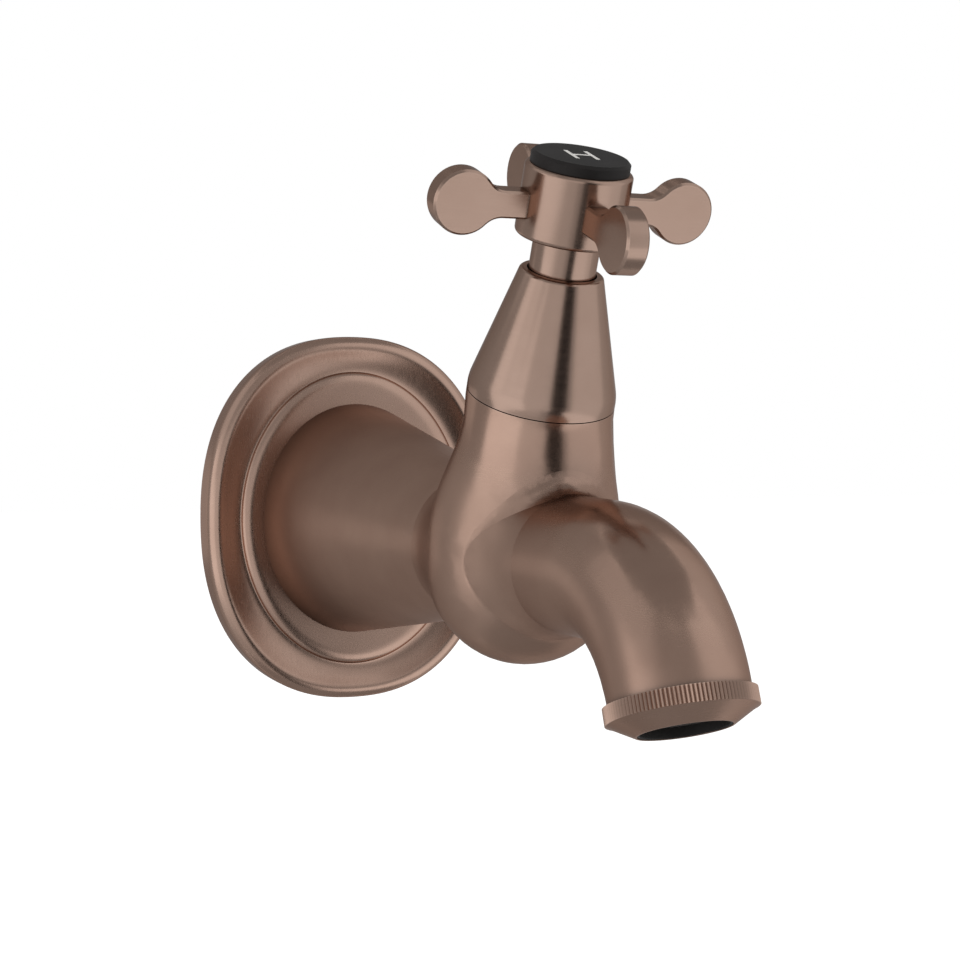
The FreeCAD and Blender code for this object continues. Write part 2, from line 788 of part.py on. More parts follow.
for ring_number, (ring_share, ring_count) in enumerate(((0.35, 6), (0.72, 12))):
    hole_sketch = square_hole(strainer, f"strainer_hole_{ring_number}", S.strainer_hole,
                              S.nipple_bore_radius * ring_share)
    hole = pocket_through(strainer, hole_sketch, f"strainer_cut_{ring_number}")
    around_axis(strainer, hole, hole_sketch, f"strainer_holes_{ring_number}", ring_count)
node("inlet_strainer", strainer)


# Headwork: seal and discs below, threaded body, hexagon and barrel
skirt_bore = S.skirt_radius - S.skirt_wall
skirt_foot = S.seat_height + S.skirt_foot_gap
disc_floor = S.seat_height + S.seat_seal_thickness
moving_floor = disc_floor + S.disc_thickness + S.disc_gap
moving_top = moving_floor + S.disc_thickness
foot_top = moving_top + S.spindle_foot_thickness
shoulder = foot_top + S.thrust_washer_thickness + S.thrust_gap
barrel_top = bonnet_top - S.barrel_top_depth
barrel_thread_top = barrel_top - S.barrel_top_length
bonnet_land_low = barrel_thread_top - S.barrel_thread_length
gasket_top = S.seam_height + S.headwork_gasket
barrel_bore = S.spindle_radius + S.running_gap
headwork = turned_body("headwork_turned", STEM, [
    (skirt_bore, skirt_foot),
    (S.skirt_radius, skirt_foot),
    (S.skirt_radius, chamber_top + S.chamber_radius - S.headwork_thread_radius),
    (S.headwork_thread_radius, chamber_top + S.chamber_radius - S.headwork_thread_radius),
    (S.headwork_thread_radius, gasket_top),
    (S.barrel_thread_radius, gasket_top),
    (S.barrel_thread_radius, barrel_thread_top),
    (S.barrel_radius, barrel_thread_top),
    (S.barrel_radius, barrel_top),
    (barrel_bore, barrel_top),
    (barrel_bore, shoulder),
    (skirt_bore, shoulder),
])
key = doc.addObject("Part::Prism", "headwork_hexagon")
key.Polygon = 6
corner_radius = S.headwork_key / root(formula(3))
bind(key, Circumradius=corner_radius, Height=S.headwork_key_height)
place(key, STEM, gasket_top)
key_bore = cylinder("hexagon_bore", S.barrel_thread_radius, S.headwork_key_height, STEM, gasket_top)
window = doc.addObject("Part::Box", "water_window")
bind(window, Length=S.skirt_radius * 3, Width=S.window_width, Height=S.window_height)
place(window, STEM, moving_floor, -S.window_width / 2)
window.setExpression("Placement.Base.x", (S.skirt_radius * -1.5).text)
node("headwork_body", cut("headwork_with_windows", fuse("headwork_solid", headwork, cut("hexagon_ring", key,
                                                                                        key_bore)), window))
node("headwork_gasket", washer("headwork_gasket_ring", S.headwork_thread_radius, S.headwork_key / 2,
                               S.headwork_gasket, STEM, S.seam_height))
node("seat_seal", washer("seat_seal_ring", S.seat_hole_radius, skirt_bore, S.seat_seal_thickness, STEM,
                         S.seat_height))


def ceramic_disc(name, radius, low, port_radius, port_offset, spin):
    """A disc with two round ports on opposite sides."""
    body = turned_body(name, STEM, [(0, low), (radius, low), (radius, low + S.disc_thickness),
                                    (0, low + S.disc_thickness)], spin)
    port_sketch = hole_circle(body, "XY_Plane", name + "_port", port_radius, port_offset)
    port = pocket_through(body, port_sketch, name + "_port_cut")
    around_axis(body, port, port_sketch, name + "_ports", 2)
    return body


# The ports of the fixed disc lie across the notches of the moving disc, so the tap rests closed
node("fixed_disc", ceramic_disc("fixed_disc_body", skirt_bore, disc_floor, S.port_radius, S.port_offset, 0))
moving_solid = ceramic_disc("moving_disc_body", skirt_bore - S.running_gap, moving_floor, S.notch_radius,
                            S.notch_offset, 90)
moving_slot = doc.addObject("Part::Box", "disc_slot")
bind(moving_slot, Length=skirt_bore * 3, Width=S.spindle_tongue, Height=S.tongue_depth)
place(moving_slot, STEM, moving_top - S.tongue_depth, -S.spindle_tongue / 2)
moving_slot.setExpression("Placement.Base.x", (skirt_bore * -1.5).text)
node("moving_disc", cut("moving_disc_slotted", moving_solid, moving_slot))


# Spindle: foot with a tongue in the moving disc, barrel with two ring grooves, splined head
foot_radius = skirt_bore - 4 * S.running_gap
groove_radius = S.spindle_radius - S.ring_thickness + S.ring_squeeze
half_ring = S.ring_thickness / 2
clip_low = barrel_top + 2 * S.running_gap
clip_high = clip_low + S.clip_thickness
spline_foot = hub_foot - S.spline_foot_drop
spindle_top = hub_web_low - S.spindle_top_gap
lower_ring_up = shoulder + S.lower_ring_rise
upper_ring_up = lower_ring_up + S.ring_spacing
spindle = turned_body("spindle_turned", STEM, [
    (0, moving_top),
    (foot_radius, moving_top),
    (foot_radius, foot_top),
    (S.spindle_radius, foot_top),
    (S.spindle_radius, lower_ring_up - half_ring),
    (groove_radius, lower_ring_up - half_ring),
    (groove_radius, lower_ring_up + half_ring),
    (S.spindle_radius, lower_ring_up + half_ring),
    (S.spindle_radius, upper_ring_up - half_ring),
    (groove_radius, upper_ring_up - half_ring),
    (groove_radius, upper_ring_up + half_ring),
    (S.spindle_radius, upper_ring_up + half_ring),
    (S.spindle_radius, clip_low),
    (S.clip_groove_radius, clip_low),
    (S.clip_groove_radius, clip_high),
    (S.spindle_radius, clip_high),
    (S.spindle_radius, spline_foot),
    (S.screw_radius, spline_foot),
    (S.screw_radius, spindle_top - S.screw_length),
    (0, spindle_top - S.screw_length),
])
tongue = doc.addObject("Part::Box", "spindle_tongue")
bind(tongue, Length=foot_radius * 1.8, Width=S.spindle_tongue, Height=S.tongue_depth)
place(tongue, STEM, moving_top - S.tongue_depth, -S.spindle_tongue / 2)
tongue.setExpression("Placement.Base.x", (foot_radius * -0.9).text)
splined_head = star("spindle_splines", sheet.spline_radius, sheet.spline_depth, int(sheet.spline_teeth),
                    (spindle_top - spline_foot).number)
place(splined_head, STEM, spline_foot)
head_bore = cylinder("spindle_head_bore", S.screw_radius, spindle_top - spline_foot, STEM, spline_foot)
node("spindle", fuse("spindle_with_tongue", spindle, tongue, cut("splined_head", splined_head, head_bore)))
ring_major = groove_radius + half_ring - S.ring_squeeze / 2 + S.running_gap / 4
ring_minor = S.spindle_radius + S.running_gap / 2 - ring_major
node("spindle_o_rings", fuse("spindle_rings",
                             o_ring("lower_ring", ring_major, ring_minor, STEM, lower_ring_up),
                             o_ring("upper_ring", ring_major, ring_minor, STEM, upper_ring_up)))
node("thrust_washer", washer("thrust_washer_ring", S.spindle_radius, foot_radius, S.thrust_washer_thickness,
                             STEM, foot_top))
node("spindle_clip", washer("spindle_clip_ring", S.clip_groove_radius, S.clip_radius, S.clip_thickness, STEM,
                            clip_low))


# Bonnet: hollow cone screwed on the barrel, with a round mouth for the sleeve
cone_foot = S.seam_height + S.bonnet_shoulder
slope = (S.bonnet_base_radius - S.bonnet_top_radius) / (bonnet_top - cone_foot)
inner_foot = S.bonnet_base_radius - S.bonnet_wall
land_radius_below = inner_foot - slope * (bonnet_land_low - cone_foot)
mouth_radius = S.sleeve_radius + S.bonnet_mouth_gap
throat_radius = S.barrel_radius + S.bonnet_throat_gap
mouth_low = bonnet_top - S.bonnet_mouth_depth
bonnet = turned_body("bonnet_turned", STEM, [
    (inner_foot, S.seam_height),
    (S.bonnet_base_radius, S.seam_height),
    (S.bonnet_base_radius, cone_foot),
    (S.bonnet_top_radius, bonnet_top),
    (mouth_radius, bonnet_top),
    (mouth_radius, mouth_low),
    (throat_radius, mouth_low),
    (throat_radius, barrel_thread_top),
    (S.barrel_thread_radius, barrel_thread_top),
    (S.barrel_thread_radius, bonnet_land_low),
    (land_radius_below, bonnet_land_low),
    (inner_foot, cone_foot),
])
soften(bonnet, "Fillet", "bonnet_rim", S.bonnet_top_round, [(S.bonnet_top_radius, bonnet_top)])
soften(bonnet, "Fillet", "bonnet_shoulder", S.bonnet_shoulder_round, [(S.bonnet_base_radius, cone_foot)])
soften(bonnet, "Chamfer", "bonnet_foot", S.bonnet_seam_bevel, [(S.bonnet_base_radius, S.seam_height)])
node("bonnet", bonnet)


# Sleeve, bush and cross handle
node("neck_sleeve", washer("neck_sleeve_tube", S.spindle_radius + S.sleeve_bore_gap, S.sleeve_radius,
                           S.sleeve_in_bonnet + S.sleeve_shown, STEM,
                           bonnet_top - S.sleeve_in_bonnet))
bush_radius = S.spline_radius + S.bush_wall
arm_up = hub_foot + S.arm_rise
bush_splines = star("bush_splines", sheet.spline_radius, sheet.spline_depth, int(sheet.spline_teeth),
                    sheet.bush_height)
place(bush_splines, STEM, hub_foot)
node("spline_bush", cut("splined_bush", cylinder("bush_outside", bush_radius, S.bush_height, STEM,
                                                 hub_foot), bush_splines))
handle = turned_body("handle_body", STEM, [
    (bush_radius, hub_foot),
    (S.hub_radius, hub_foot),
    (S.hub_radius, hub_top),
    (S.hub_recess_radius, hub_top),
    (S.hub_recess_radius, hub_web_low + S.hub_web),
    (S.screw_radius, hub_web_low + S.hub_web),
    (S.screw_radius, hub_web_low),
    (bush_radius, hub_web_low),
])
soften(handle, "Fillet", "hub_rims", S.hub_round, [(S.hub_radius, hub_foot),
                                                   (S.hub_radius, hub_top)])

# One arm: a neck that flares into a round paddle, its outline seen along the hub's side
half_neck = S.arm_neck / 2
flare_centre_up = half_neck + S.arm_flare
flare_span = root((S.arm_disc_radius + S.arm_flare) * (S.arm_disc_radius + S.arm_flare)
                  - flare_centre_up * flare_centre_up)
flare_centre_out = S.arm_reach - flare_span
arm_root = (S.hub_radius + S.hub_recess_radius) / 2
arm_sketch = sketch_on(handle, "XZ_Plane", "arm_outline")
meeting_share = S.arm_disc_radius / (S.arm_disc_radius + S.arm_flare)
meeting_out = S.arm_reach - flare_span * meeting_share
meeting_angle = math.degrees(math.asin(flare_centre_up.number / (S.arm_disc_radius + S.arm_flare).number))


def arc(sketch, centre_x, centre_y, radius, start, end):
    """Adds an arc between two angles, its middle pinned, and returns its number."""
    circle = Part.Circle(FreeCAD.Vector(centre_x.number, centre_y.number, 0), FreeCAD.Vector(0, 0, 1),
                         radius.number)
    number = sketch.addGeometry(Part.ArcOfCircle(circle, math.radians(start), math.radians(end)))
    pin_point(sketch, number, 3, centre_x, centre_y)
    return number


def pin_one(sketch, kind, line, end, distance):
    index = sketch.addConstraint(Sketcher.Constraint(kind, -1, 1, line, end, distance.number))
    sketch.setExpression(f"Constraints[{index}]", distance.text)


def arm_half(side):
    """The neck line, the flare and half of the paddle, above (1) or below (-1) the arm's axis."""
    neck_up = arm_up + half_neck * side
    centre_up = arm_up + flare_centre_up * side
    line = arm_sketch.addGeometry(Part.LineSegment(
        FreeCAD.Vector(arm_root.number, neck_up.number, 0),
        FreeCAD.Vector(flare_centre_out.number, neck_up.number, 0)))
    pin_point(arm_sketch, line, 1, arm_root, neck_up)
    pin_point(arm_sketch, line, 2, flare_centre_out, neck_up)
    if side > 0:
        flare = arc(arm_sketch, flare_centre_out, centre_up, S.arm_flare, -90, -meeting_angle)
        paddle = arc(arm_sketch, S.arm_reach, arm_up, S.arm_disc_radius, 0, 180 - meeting_angle)
        neck_side, paddle_side, meeting, tip = 1, 2, 2, 1
    else:
        flare = arc(arm_sketch, flare_centre_out, centre_up, S.arm_flare, meeting_angle, 90)
        paddle = arc(arm_sketch, S.arm_reach, arm_up, S.arm_disc_radius, 180 + meeting_angle, 360)
        neck_side, paddle_side, meeting, tip = 2, 1, 1, 2
    arm_sketch.addConstraint(Sketcher.Constraint("Coincident", line, 2, flare, neck_side))
    pin_one(arm_sketch, "DistanceX", flare, paddle_side, meeting_out)
    arm_sketch.addConstraint(Sketcher.Constraint("Coincident", flare, paddle_side, paddle, meeting))
    pin_one(arm_sketch, "DistanceY", paddle, tip, arm_up)
    return line


upper_line = arm_half(1)
lower_line = arm_half(-1)
root_line = arm_sketch.addGeometry(Part.LineSegment(
    FreeCAD.Vector(arm_root.number, (arm_up - half_neck).number, 0),
    FreeCAD.Vector(arm_root.number, (arm_up + half_neck).number, 0)))
arm_sketch.addConstraint(Sketcher.Constraint("Coincident", root_line, 1, lower_line, 1))
arm_sketch.addConstraint(Sketcher.Constraint("Coincident", root_line, 2, upper_line, 1))
arm_pad = handle.newObject("PartDesign::Pad", "arm_pad")
arm_pad.Profile = arm_sketch
arm_pad.Midplane = True
bind(arm_pad, Length=S.arm_thickness)
handle.Tip = arm_pad
doc.recompute()
hub_sketch = sketch_on(handle, "XY_Plane", "hub_axis")
hub_sketch.addGeometry(Part.Circle(FreeCAD.Vector(), FreeCAD.Vector(0, 0, 1), S.hub_radius.number), True)
four_arms = around_axis(handle, arm_pad, hub_sketch, "four_arms", 4)

# Bevel along the flat faces of the arms
arm_rims = []
for number, edge in enumerate(four_arms.Shape.Edges, 1):
    middle = edge.valueAt((edge.FirstParameter + edge.LastParameter) / 2)
    on_face = min(abs(abs(middle.x) - sheet.arm_thickness / 2), abs(abs(middle.y) - sheet.arm_thickness / 2))
    ends_apart = (edge.Vertexes[0].Point - edge.Vertexes[-1].Point)
    along_face = min(abs(ends_apart.x), abs(ends_apart.y)) < 0.001
    if on_face < 0.001 and along_face and middle.x ** 2 + middle.y ** 2 > (sheet.hub_radius + 0.1) ** 2:
        arm_rims.append(f"Edge{number}")
arm_bevel = handle.newObject("PartDesign::Chamfer", "arm_bevel")
arm_bevel.Base = (four_arms, arm_rims)
bind(arm_bevel, Size=S.arm_edge)
handle.Tip = arm_bevel
doc.recompute()
node("cross_handle", handle)


# Handle screw, index cap and its ring
head_low = hub_web_low + S.hub_web
head_high = head_low + S.screw_head_height
screw = turned_body("screw_turned", STEM, [
    (0, head_low - S.screw_length),
    (S.screw_radius, head_low - S.screw_length),
    (S.screw_radius, head_low),
    (S.screw_head_radius, head_low),
    (S.screw_head_radius, head_high),
    (0, head_high),
])
soften(screw, "Chamfer", "screw_lead", S.screw_lead, [(S.screw_radius, head_low - S.screw_length)])
slot = doc.addObject("Part::Box", "screw_slot")
bind(slot, Length=S.screw_head_radius * 3, Width=S.screw_slot, Height=S.screw_head_height / 2)
place(slot, STEM, head_high - S.screw_head_height / 2, -S.screw_slot / 2)
slot.setExpression("Placement.Base.x", (S.screw_head_radius * -1.5).text)
node("handle_screw", cut("slotted_screw", screw, slot))

cap_top = hub_top + S.cap_thickness
plug_radius = S.hub_recess_radius - S.cap_plug_gap
plug_low = hub_top - S.cap_plug_depth
cap_ring_minor = S.ring_thickness / 2
cap_groove_radius = S.hub_recess_radius - S.ring_thickness
cap_ring_height = hub_top - S.cap_plug_depth / 2
cap = turned_body("cap_turned", STEM, [
    (0, cap_top),
    (0, hub_top),
    (plug_radius - S.cap_plug_wall, hub_top),
    (plug_radius - S.cap_plug_wall, plug_low),
    (plug_radius, plug_low),
    (plug_radius, cap_ring_height - cap_ring_minor),
    (cap_groove_radius, cap_ring_height - cap_ring_minor),
    (cap_groove_radius, cap_ring_height + cap_ring_minor),
    (plug_radius, cap_ring_height + cap_ring_minor),
    (plug_radius, hub_top),
    (S.cap_radius, hub_top),
    (S.cap_radius, cap_top),
])
soften(cap, "Chamfer", "cap_rim", S.cap_edge, [(S.cap_radius, cap_top)])
node("index_cap", cap)
node("cap_o_ring", o_ring("cap_ring", S.hub_recess_radius - cap_ring_minor, cap_ring_minor, STEM,
                          cap_ring_height))


# Aerator: knurled ring, moulded insert, screens and washer
insert_radius = S.aerator_thread_radius - S.aerator_wall
insert_low = S.aerator_lip
insert_high = insert_low + S.insert_height
ring_top = outlet_length + S.aerator_thread_length
band_core = S.aerator_radius - S.knurl_depth
aerator_turned = turned_body("aerator_turned", OUTLET, [
    (S.aerator_mouth_radius, 0),
    (S.aerator_mouth_radius + S.aerator_lip / 2, 0),
    (band_core, S.aerator_cone),
    (band_core, outlet_length),
    (S.aerator_thread_radius, outlet_length),
    (S.aerator_thread_radius, ring_top),
    (insert_radius, ring_top),
    (insert_radius, insert_low),
    (S.aerator_mouth_radius, insert_low),
])


knurl = star("knurled_band", sheet.aerator_radius, sheet.knurl_depth, int(sheet.knurl_count), sheet.aerator_band)
place(knurl, OUTLET, S.aerator_cone)
knurl_core = cylinder("knurl_core", S.aerator_thread_radius, S.aerator_band, OUTLET, S.aerator_cone)
node("aerator_ring", fuse("aerator_ring_solid", aerator_turned, cut("knurled_ring", knurl, knurl_core)))

core_radius = insert_radius - S.insert_rim
insert = turned_body("insert_turned", OUTLET, [
    (0, insert_low + S.insert_recess),
    (core_radius, insert_low + S.insert_recess),
    (core_radius, insert_low),
    (insert_radius, insert_low),
    (insert_radius, insert_high),
    (core_radius, insert_high),
    (core_radius, insert_low + 2 * S.insert_recess),
    (0, insert_low + 2 * S.insert_recess),
])
slot_sketch = hole_circle(insert, "XY_Plane", "insert_slot", S.insert_slot_radius, S.insert_slot_offset)
slot_cut = pocket_through(insert, slot_sketch, "insert_slot_cut")
around_axis(insert, slot_cut, slot_sketch, "insert_slots", S.insert_slots)
node("aerator_insert", insert)

mesh_low = insert_high
screens = turned_body("screens_turned", OUTLET, [
    (0, mesh_low),
    (insert_radius, mesh_low),
    (insert_radius, mesh_low + S.mesh_thickness),
    (0, mesh_low + S.mesh_thickness),
])
for ring_number, (ring_share, ring_count) in enumerate(((0.3, 6), (0.55, 12), (0.8, 18))):
    hole_sketch = square_hole(screens, f"screen_hole_{ring_number}", S.mesh_hole, insert_radius * ring_share)
    hole = pocket_through(screens, hole_sketch, f"screen_cut_{ring_number}")
    around_axis(screens, hole, hole_sketch, f"screen_holes_{ring_number}", ring_count)
node("aerator_mesh", screens)
node("aerator_washer", washer("aerator_washer_ring", S.passage_radius - S.aerator_wall,
                              S.aerator_thread_radius, S.aerator_washer_thickness, OUTLET, ring_top))


# Check every object, then write one file for each piece
doc.recompute()
failed = [thing.Name for thing in doc.Objects if "Invalid" in thing.State or "Error" in thing.State]
if failed:
    raise SystemExit("These objects failed: " + ", ".join(failed))
for name, thing in nodes.items():
    if thing.Shape.isNull() or not thing.Shape.isValid():
        raise SystemExit("This piece has no valid shape: " + name)

os.makedirs("parts", exist_ok=True)
for name, thing in nodes.items():
    thing.Shape.exportStep(os.path.join("parts", name + ".step"))
    print(name, "solids", len(thing.Shape.Solids), "volume", round(thing.Shape.Volume, 1))
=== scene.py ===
# %% [markdown]
# # A wall-held bib tap in brushed antique copper
# The construction comes packed from CAD: 27 pieces on two bodies, the fixed tap and its handle.
# This file gives every piece its finish, models the pieces whose look needs more than a solid,
# and sets up a plain studio with the camera where the photographer stood.

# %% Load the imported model
import json
import math

import bpy
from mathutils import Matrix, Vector


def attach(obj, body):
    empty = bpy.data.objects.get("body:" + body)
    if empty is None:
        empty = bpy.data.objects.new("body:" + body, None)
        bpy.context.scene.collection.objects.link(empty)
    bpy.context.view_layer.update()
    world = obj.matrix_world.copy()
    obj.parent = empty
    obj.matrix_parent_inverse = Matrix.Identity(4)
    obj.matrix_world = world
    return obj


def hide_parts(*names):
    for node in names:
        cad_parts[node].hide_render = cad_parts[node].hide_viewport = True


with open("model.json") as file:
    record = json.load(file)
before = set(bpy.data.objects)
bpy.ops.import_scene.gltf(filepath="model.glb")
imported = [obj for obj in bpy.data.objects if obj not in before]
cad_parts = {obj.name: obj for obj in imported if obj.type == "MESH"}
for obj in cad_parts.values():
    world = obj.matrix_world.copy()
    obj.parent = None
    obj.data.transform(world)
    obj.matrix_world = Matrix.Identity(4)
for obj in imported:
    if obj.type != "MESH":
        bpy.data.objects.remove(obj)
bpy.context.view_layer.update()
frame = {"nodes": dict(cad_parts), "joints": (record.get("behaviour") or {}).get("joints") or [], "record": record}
MM = 0.001
MICRON = 0.001 * MM

# %% [markdown]
# ## Camera
# The viewpoint was found by matching the wall plate, the bonnet and the spout in the picture:
# the tap is seen from its left, about twenty-two degrees round from the front and nearly level.

# %% Place the camera
CAMERA_PLACE = Vector((-127.97, -402.61, 22.60)) * MM
CAMERA_AIM = Vector((-14.31, -123.81, 12.87)) * MM
LENS = 63.75
SENSOR = 36.0

bpy.ops.object.camera_add(location=CAMERA_PLACE)
camera = bpy.context.object
camera.data.lens = LENS
camera.data.sensor_width = SENSOR
camera.data.clip_start = 0.01
camera.rotation_euler = (CAMERA_AIM - CAMERA_PLACE).to_track_quat("-Z", "Y").to_euler()
bpy.context.scene.camera = camera

# %% [markdown]
# ## Axes of the tap
# The stem leans out from the wall, and the outlet leans the other way. The handle's joint gives the stem's
# axis, so the finish and the new pieces follow the construction.

# %% Axes
stem_joint = frame["joints"][0]
STEM_AXIS = Vector(stem_joint["axis"]).normalized()
STEM_FOOT = Vector(stem_joint["pos_m"])
STEM_LEAN = math.atan2(-STEM_AXIS.y, STEM_AXIS.z)
OUTLET_LEAN = math.radians(20.6)
print("stem leans", round(math.degrees(STEM_LEAN), 2), "degrees")

# %% [markdown]
# ## Helpers for materials
# A node tree is built by naming each node, its settings and its inputs in one line, and each link in
# another. Effects that several finishes share are node groups with named inputs and outputs.

# %% Node helpers
def add(tree, kind, **settings):
    """A shader node with its properties and its inputs set by name."""
    node = tree.nodes.new(kind)
    for name, value in settings.items():
        if hasattr(node, name):
            setattr(node, name, value)
        else:
            node.inputs[name.replace("_", " ")].default_value = value
    return node


def link(tree, source, target):
    """Joins an output to an input."""
    tree.links.new(source, target)


def start_material(name):
    """A material with a Principled shader, its node tree and that shader."""
    material = bpy.data.materials.new(name)
    material.use_nodes = True
    return material, material.node_tree, material.node_tree.nodes["Principled BSDF"]


def start_group(name, inputs, outputs):
    """A node group with plain number or vector inputs and number outputs."""
    group = bpy.data.node_groups.new(name, "ShaderNodeTree")
    for socket_name, value in inputs:
        kind = "NodeSocketVector" if value is None else "NodeSocketFloat"
        socket = group.interface.new_socket(name=socket_name, in_out="INPUT", socket_type=kind)
        if value is not None:
            socket.default_value = value
    for socket_name in outputs:
        group.interface.new_socket(name=socket_name, in_out="OUTPUT", socket_type="NodeSocketFloat")
    return group, group.nodes.new("NodeGroupInput"), group.nodes.new("NodeGroupOutput")


def ramp(tree, source, stops):
    """A colour ramp fed by a mask: stops are position and colour."""
    node = tree.nodes.new("ShaderNodeValToRGB")
    while len(node.color_ramp.elements) < len(stops):
        node.color_ramp.elements.new(0.5)
    for element, (position, color) in zip(node.color_ramp.elements, stops):
        element.position = position
        element.color = (*color, 1)
    link(tree, source, node.inputs["Fac"])
    return node.outputs["Color"]


def spread(tree, source, low, high, to_low, to_high):
    """Stretches a mask from one range to another, with its ends held."""
    node = add(tree, "ShaderNodeMapRange", From_Min=low, From_Max=high, To_Min=to_low, To_Max=to_high)
    link(tree, source, node.inputs["Value"])
    return node.outputs["Result"]


def scaled(tree, mask, strength):
    """A mask that runs from nothing to a strength."""
    return spread(tree, mask, 0, 1, 0, strength)


def mixed(tree, mask, first, second):
    """Blends two colours by a mask; each is a socket or a plain colour."""
    node = add(tree, "ShaderNodeMix", data_type="RGBA")
    link(tree, mask, node.inputs[0])
    for value, socket in ((first, node.inputs[6]), (second, node.inputs[7])):
        if isinstance(value, tuple):
            socket.default_value = (*value, 1)
        else:
            link(tree, value, socket)
    return node.outputs[2]


def calculated(tree, operation, first, second):
    """A Math node on two sockets or numbers."""
    node = add(tree, "ShaderNodeMath", operation=operation)
    for value, socket in ((first, node.inputs[0]), (second, node.inputs[1])):
        if isinstance(value, (int, float)):
            socket.default_value = value
        else:
            link(tree, value, socket)
    return node.outputs["Value"]


def object_place(tree, lean):
    """Object coordinates turned about X, so that their Z runs along a leaning axis."""
    place = add(tree, "ShaderNodeTexCoord")
    turn = add(tree, "ShaderNodeMapping")
    turn.inputs["Rotation"].default_value = (-lean, 0, 0)
    link(tree, place.outputs["Object"], turn.inputs["Vector"])
    return turn.outputs["Vector"]


def raise_lines(tree, grain, relief, shader):
    """Lets the lines of a grain stand up by a depth in metres."""
    bump = add(tree, "ShaderNodeBump", Strength=1.0, Distance=relief)
    link(tree, grain.outputs["Lines"], bump.inputs["Height"])
    link(tree, bump.outputs["Normal"], shader.inputs["Normal"])


# %% [markdown]
# ## Fine brushing
# Brushed metal has hairline scratches that run one way. A noise whose coordinates are squeezed hard across
# the grain, and hardly at all along it, gives them without any picture. A second, slow noise gives the
# faint clouds that plating and handling leave.

# %% Node group for brushing
NOISE_RANGE = (0.3, 0.7)


def make_brushing():
    """Lines across a grain and slow clouds, each a noise whose values lie mostly within NOISE_RANGE."""
    group, inside, out = start_group("brushing", (("Vector", None), ("Across", 9000.0), ("Along", 300.0),
                                                  ("Cloud Scale", 55.0)), ("Lines", "Clouds"))
    scale = add(group, "ShaderNodeCombineXYZ")
    link(group, inside.outputs["Along"], scale.inputs["X"])
    link(group, inside.outputs["Along"], scale.inputs["Y"])
    link(group, inside.outputs["Across"], scale.inputs["Z"])
    stretch = add(group, "ShaderNodeVectorMath", operation="MULTIPLY")
    link(group, inside.outputs["Vector"], stretch.inputs[0])
    link(group, scale.outputs["Vector"], stretch.inputs[1])
    lines = add(group, "ShaderNodeTexNoise", Scale=1.0, Detail=4.0, Roughness=0.65)
    link(group, stretch.outputs["Vector"], lines.inputs["Vector"])
    clouds = add(group, "ShaderNodeTexNoise", Detail=3.0, Roughness=0.55)
    link(group, inside.outputs["Vector"], clouds.inputs["Vector"])
    link(group, inside.outputs["Cloud Scale"], clouds.inputs["Scale"])
    link(group, lines.outputs["Fac"], out.inputs["Lines"])
    link(group, clouds.outputs["Fac"], out.inputs["Clouds"])
    return group


BRUSHING = make_brushing()

# %% [markdown]
# ## Worn edges, and painted shade in corners and hollows
# Handling rubs the toning off raised edges. Corners and hollows get painted shade: darker copper laid into
# the colour where the real piece is only in shade. The Bevel node tells how sharply the surface turns nearby:
# where its softened normal leaves the true one, there is an edge. The Ambient Occlusion node tells how closed
# in a spot is. Over a short distance it finds corners, and over a long one the hollows where spout and shank
# leave the body, which get the painted shade as well.

# %% Node group for edges and corners
BEVEL_SAMPLES = 4
OCCLUSION_SAMPLES = 12
EDGE_RANGE = (0.99, 0.85)  # likeness of the softened normal to the true one: on a flat, on a sharp edge
CORNER_RANGE = (0.85, 0.25)  # share of open directions nearby: in the open, deep in a corner
HOLLOW_SHADE_RANGE = (0.95, 0.45)  # the same share over the longer distance


def make_wear_and_shade():
    """Masks of worn edges, and of tight corners and wide hollows, where the last two lay painted shade."""
    group, inside, out = start_group("wear_and_shade", (("Edge Width", 0.4 * MM), ("Corner Depth", 3 * MM),
                                              ("Shelter Depth", 15 * MM)), ("Edges", "Corners", "Shelter"))
    soft = add(group, "ShaderNodeBevel", samples=BEVEL_SAMPLES)
    link(group, inside.outputs["Edge Width"], soft.inputs["Radius"])
    true = add(group, "ShaderNodeNewGeometry")
    likeness = add(group, "ShaderNodeVectorMath", operation="DOT_PRODUCT")
    link(group, soft.outputs["Normal"], likeness.inputs[0])
    link(group, true.outputs["Normal"], likeness.inputs[1])
    turning = spread(group, likeness.outputs["Value"], *EDGE_RANGE, 0.0, 1.0)
    # tight corners: this mask darkens the colour as painted shade and adds roughness
    closed = add(group, "ShaderNodeAmbientOcclusion", samples=OCCLUSION_SAMPLES, only_local=True)
    link(group, inside.outputs["Corner Depth"], closed.inputs["Distance"])
    corners = spread(group, closed.outputs["AO"], *CORNER_RANGE, 0.0, 1.0)
    open_edges = calculated(group, "MULTIPLY", turning, calculated(group, "SUBTRACT", 1.0, corners))
    # wide hollows, also between neighbouring pieces: this mask darkens the colour as painted shade
    wide = add(group, "ShaderNodeAmbientOcclusion", samples=OCCLUSION_SAMPLES)
    link(group, inside.outputs["Shelter Depth"], wide.inputs["Distance"])
    painted_hollow_shade = spread(group, wide.outputs["AO"], *HOLLOW_SHADE_RANGE, 0.0, 1.0)
    link(group, open_edges, out.inputs["Edges"])
    link(group, corners, out.inputs["Corners"])
    link(group, painted_hollow_shade, out.inputs["Shelter"])
    return group


WEAR_AND_SHADE = make_wear_and_shade()
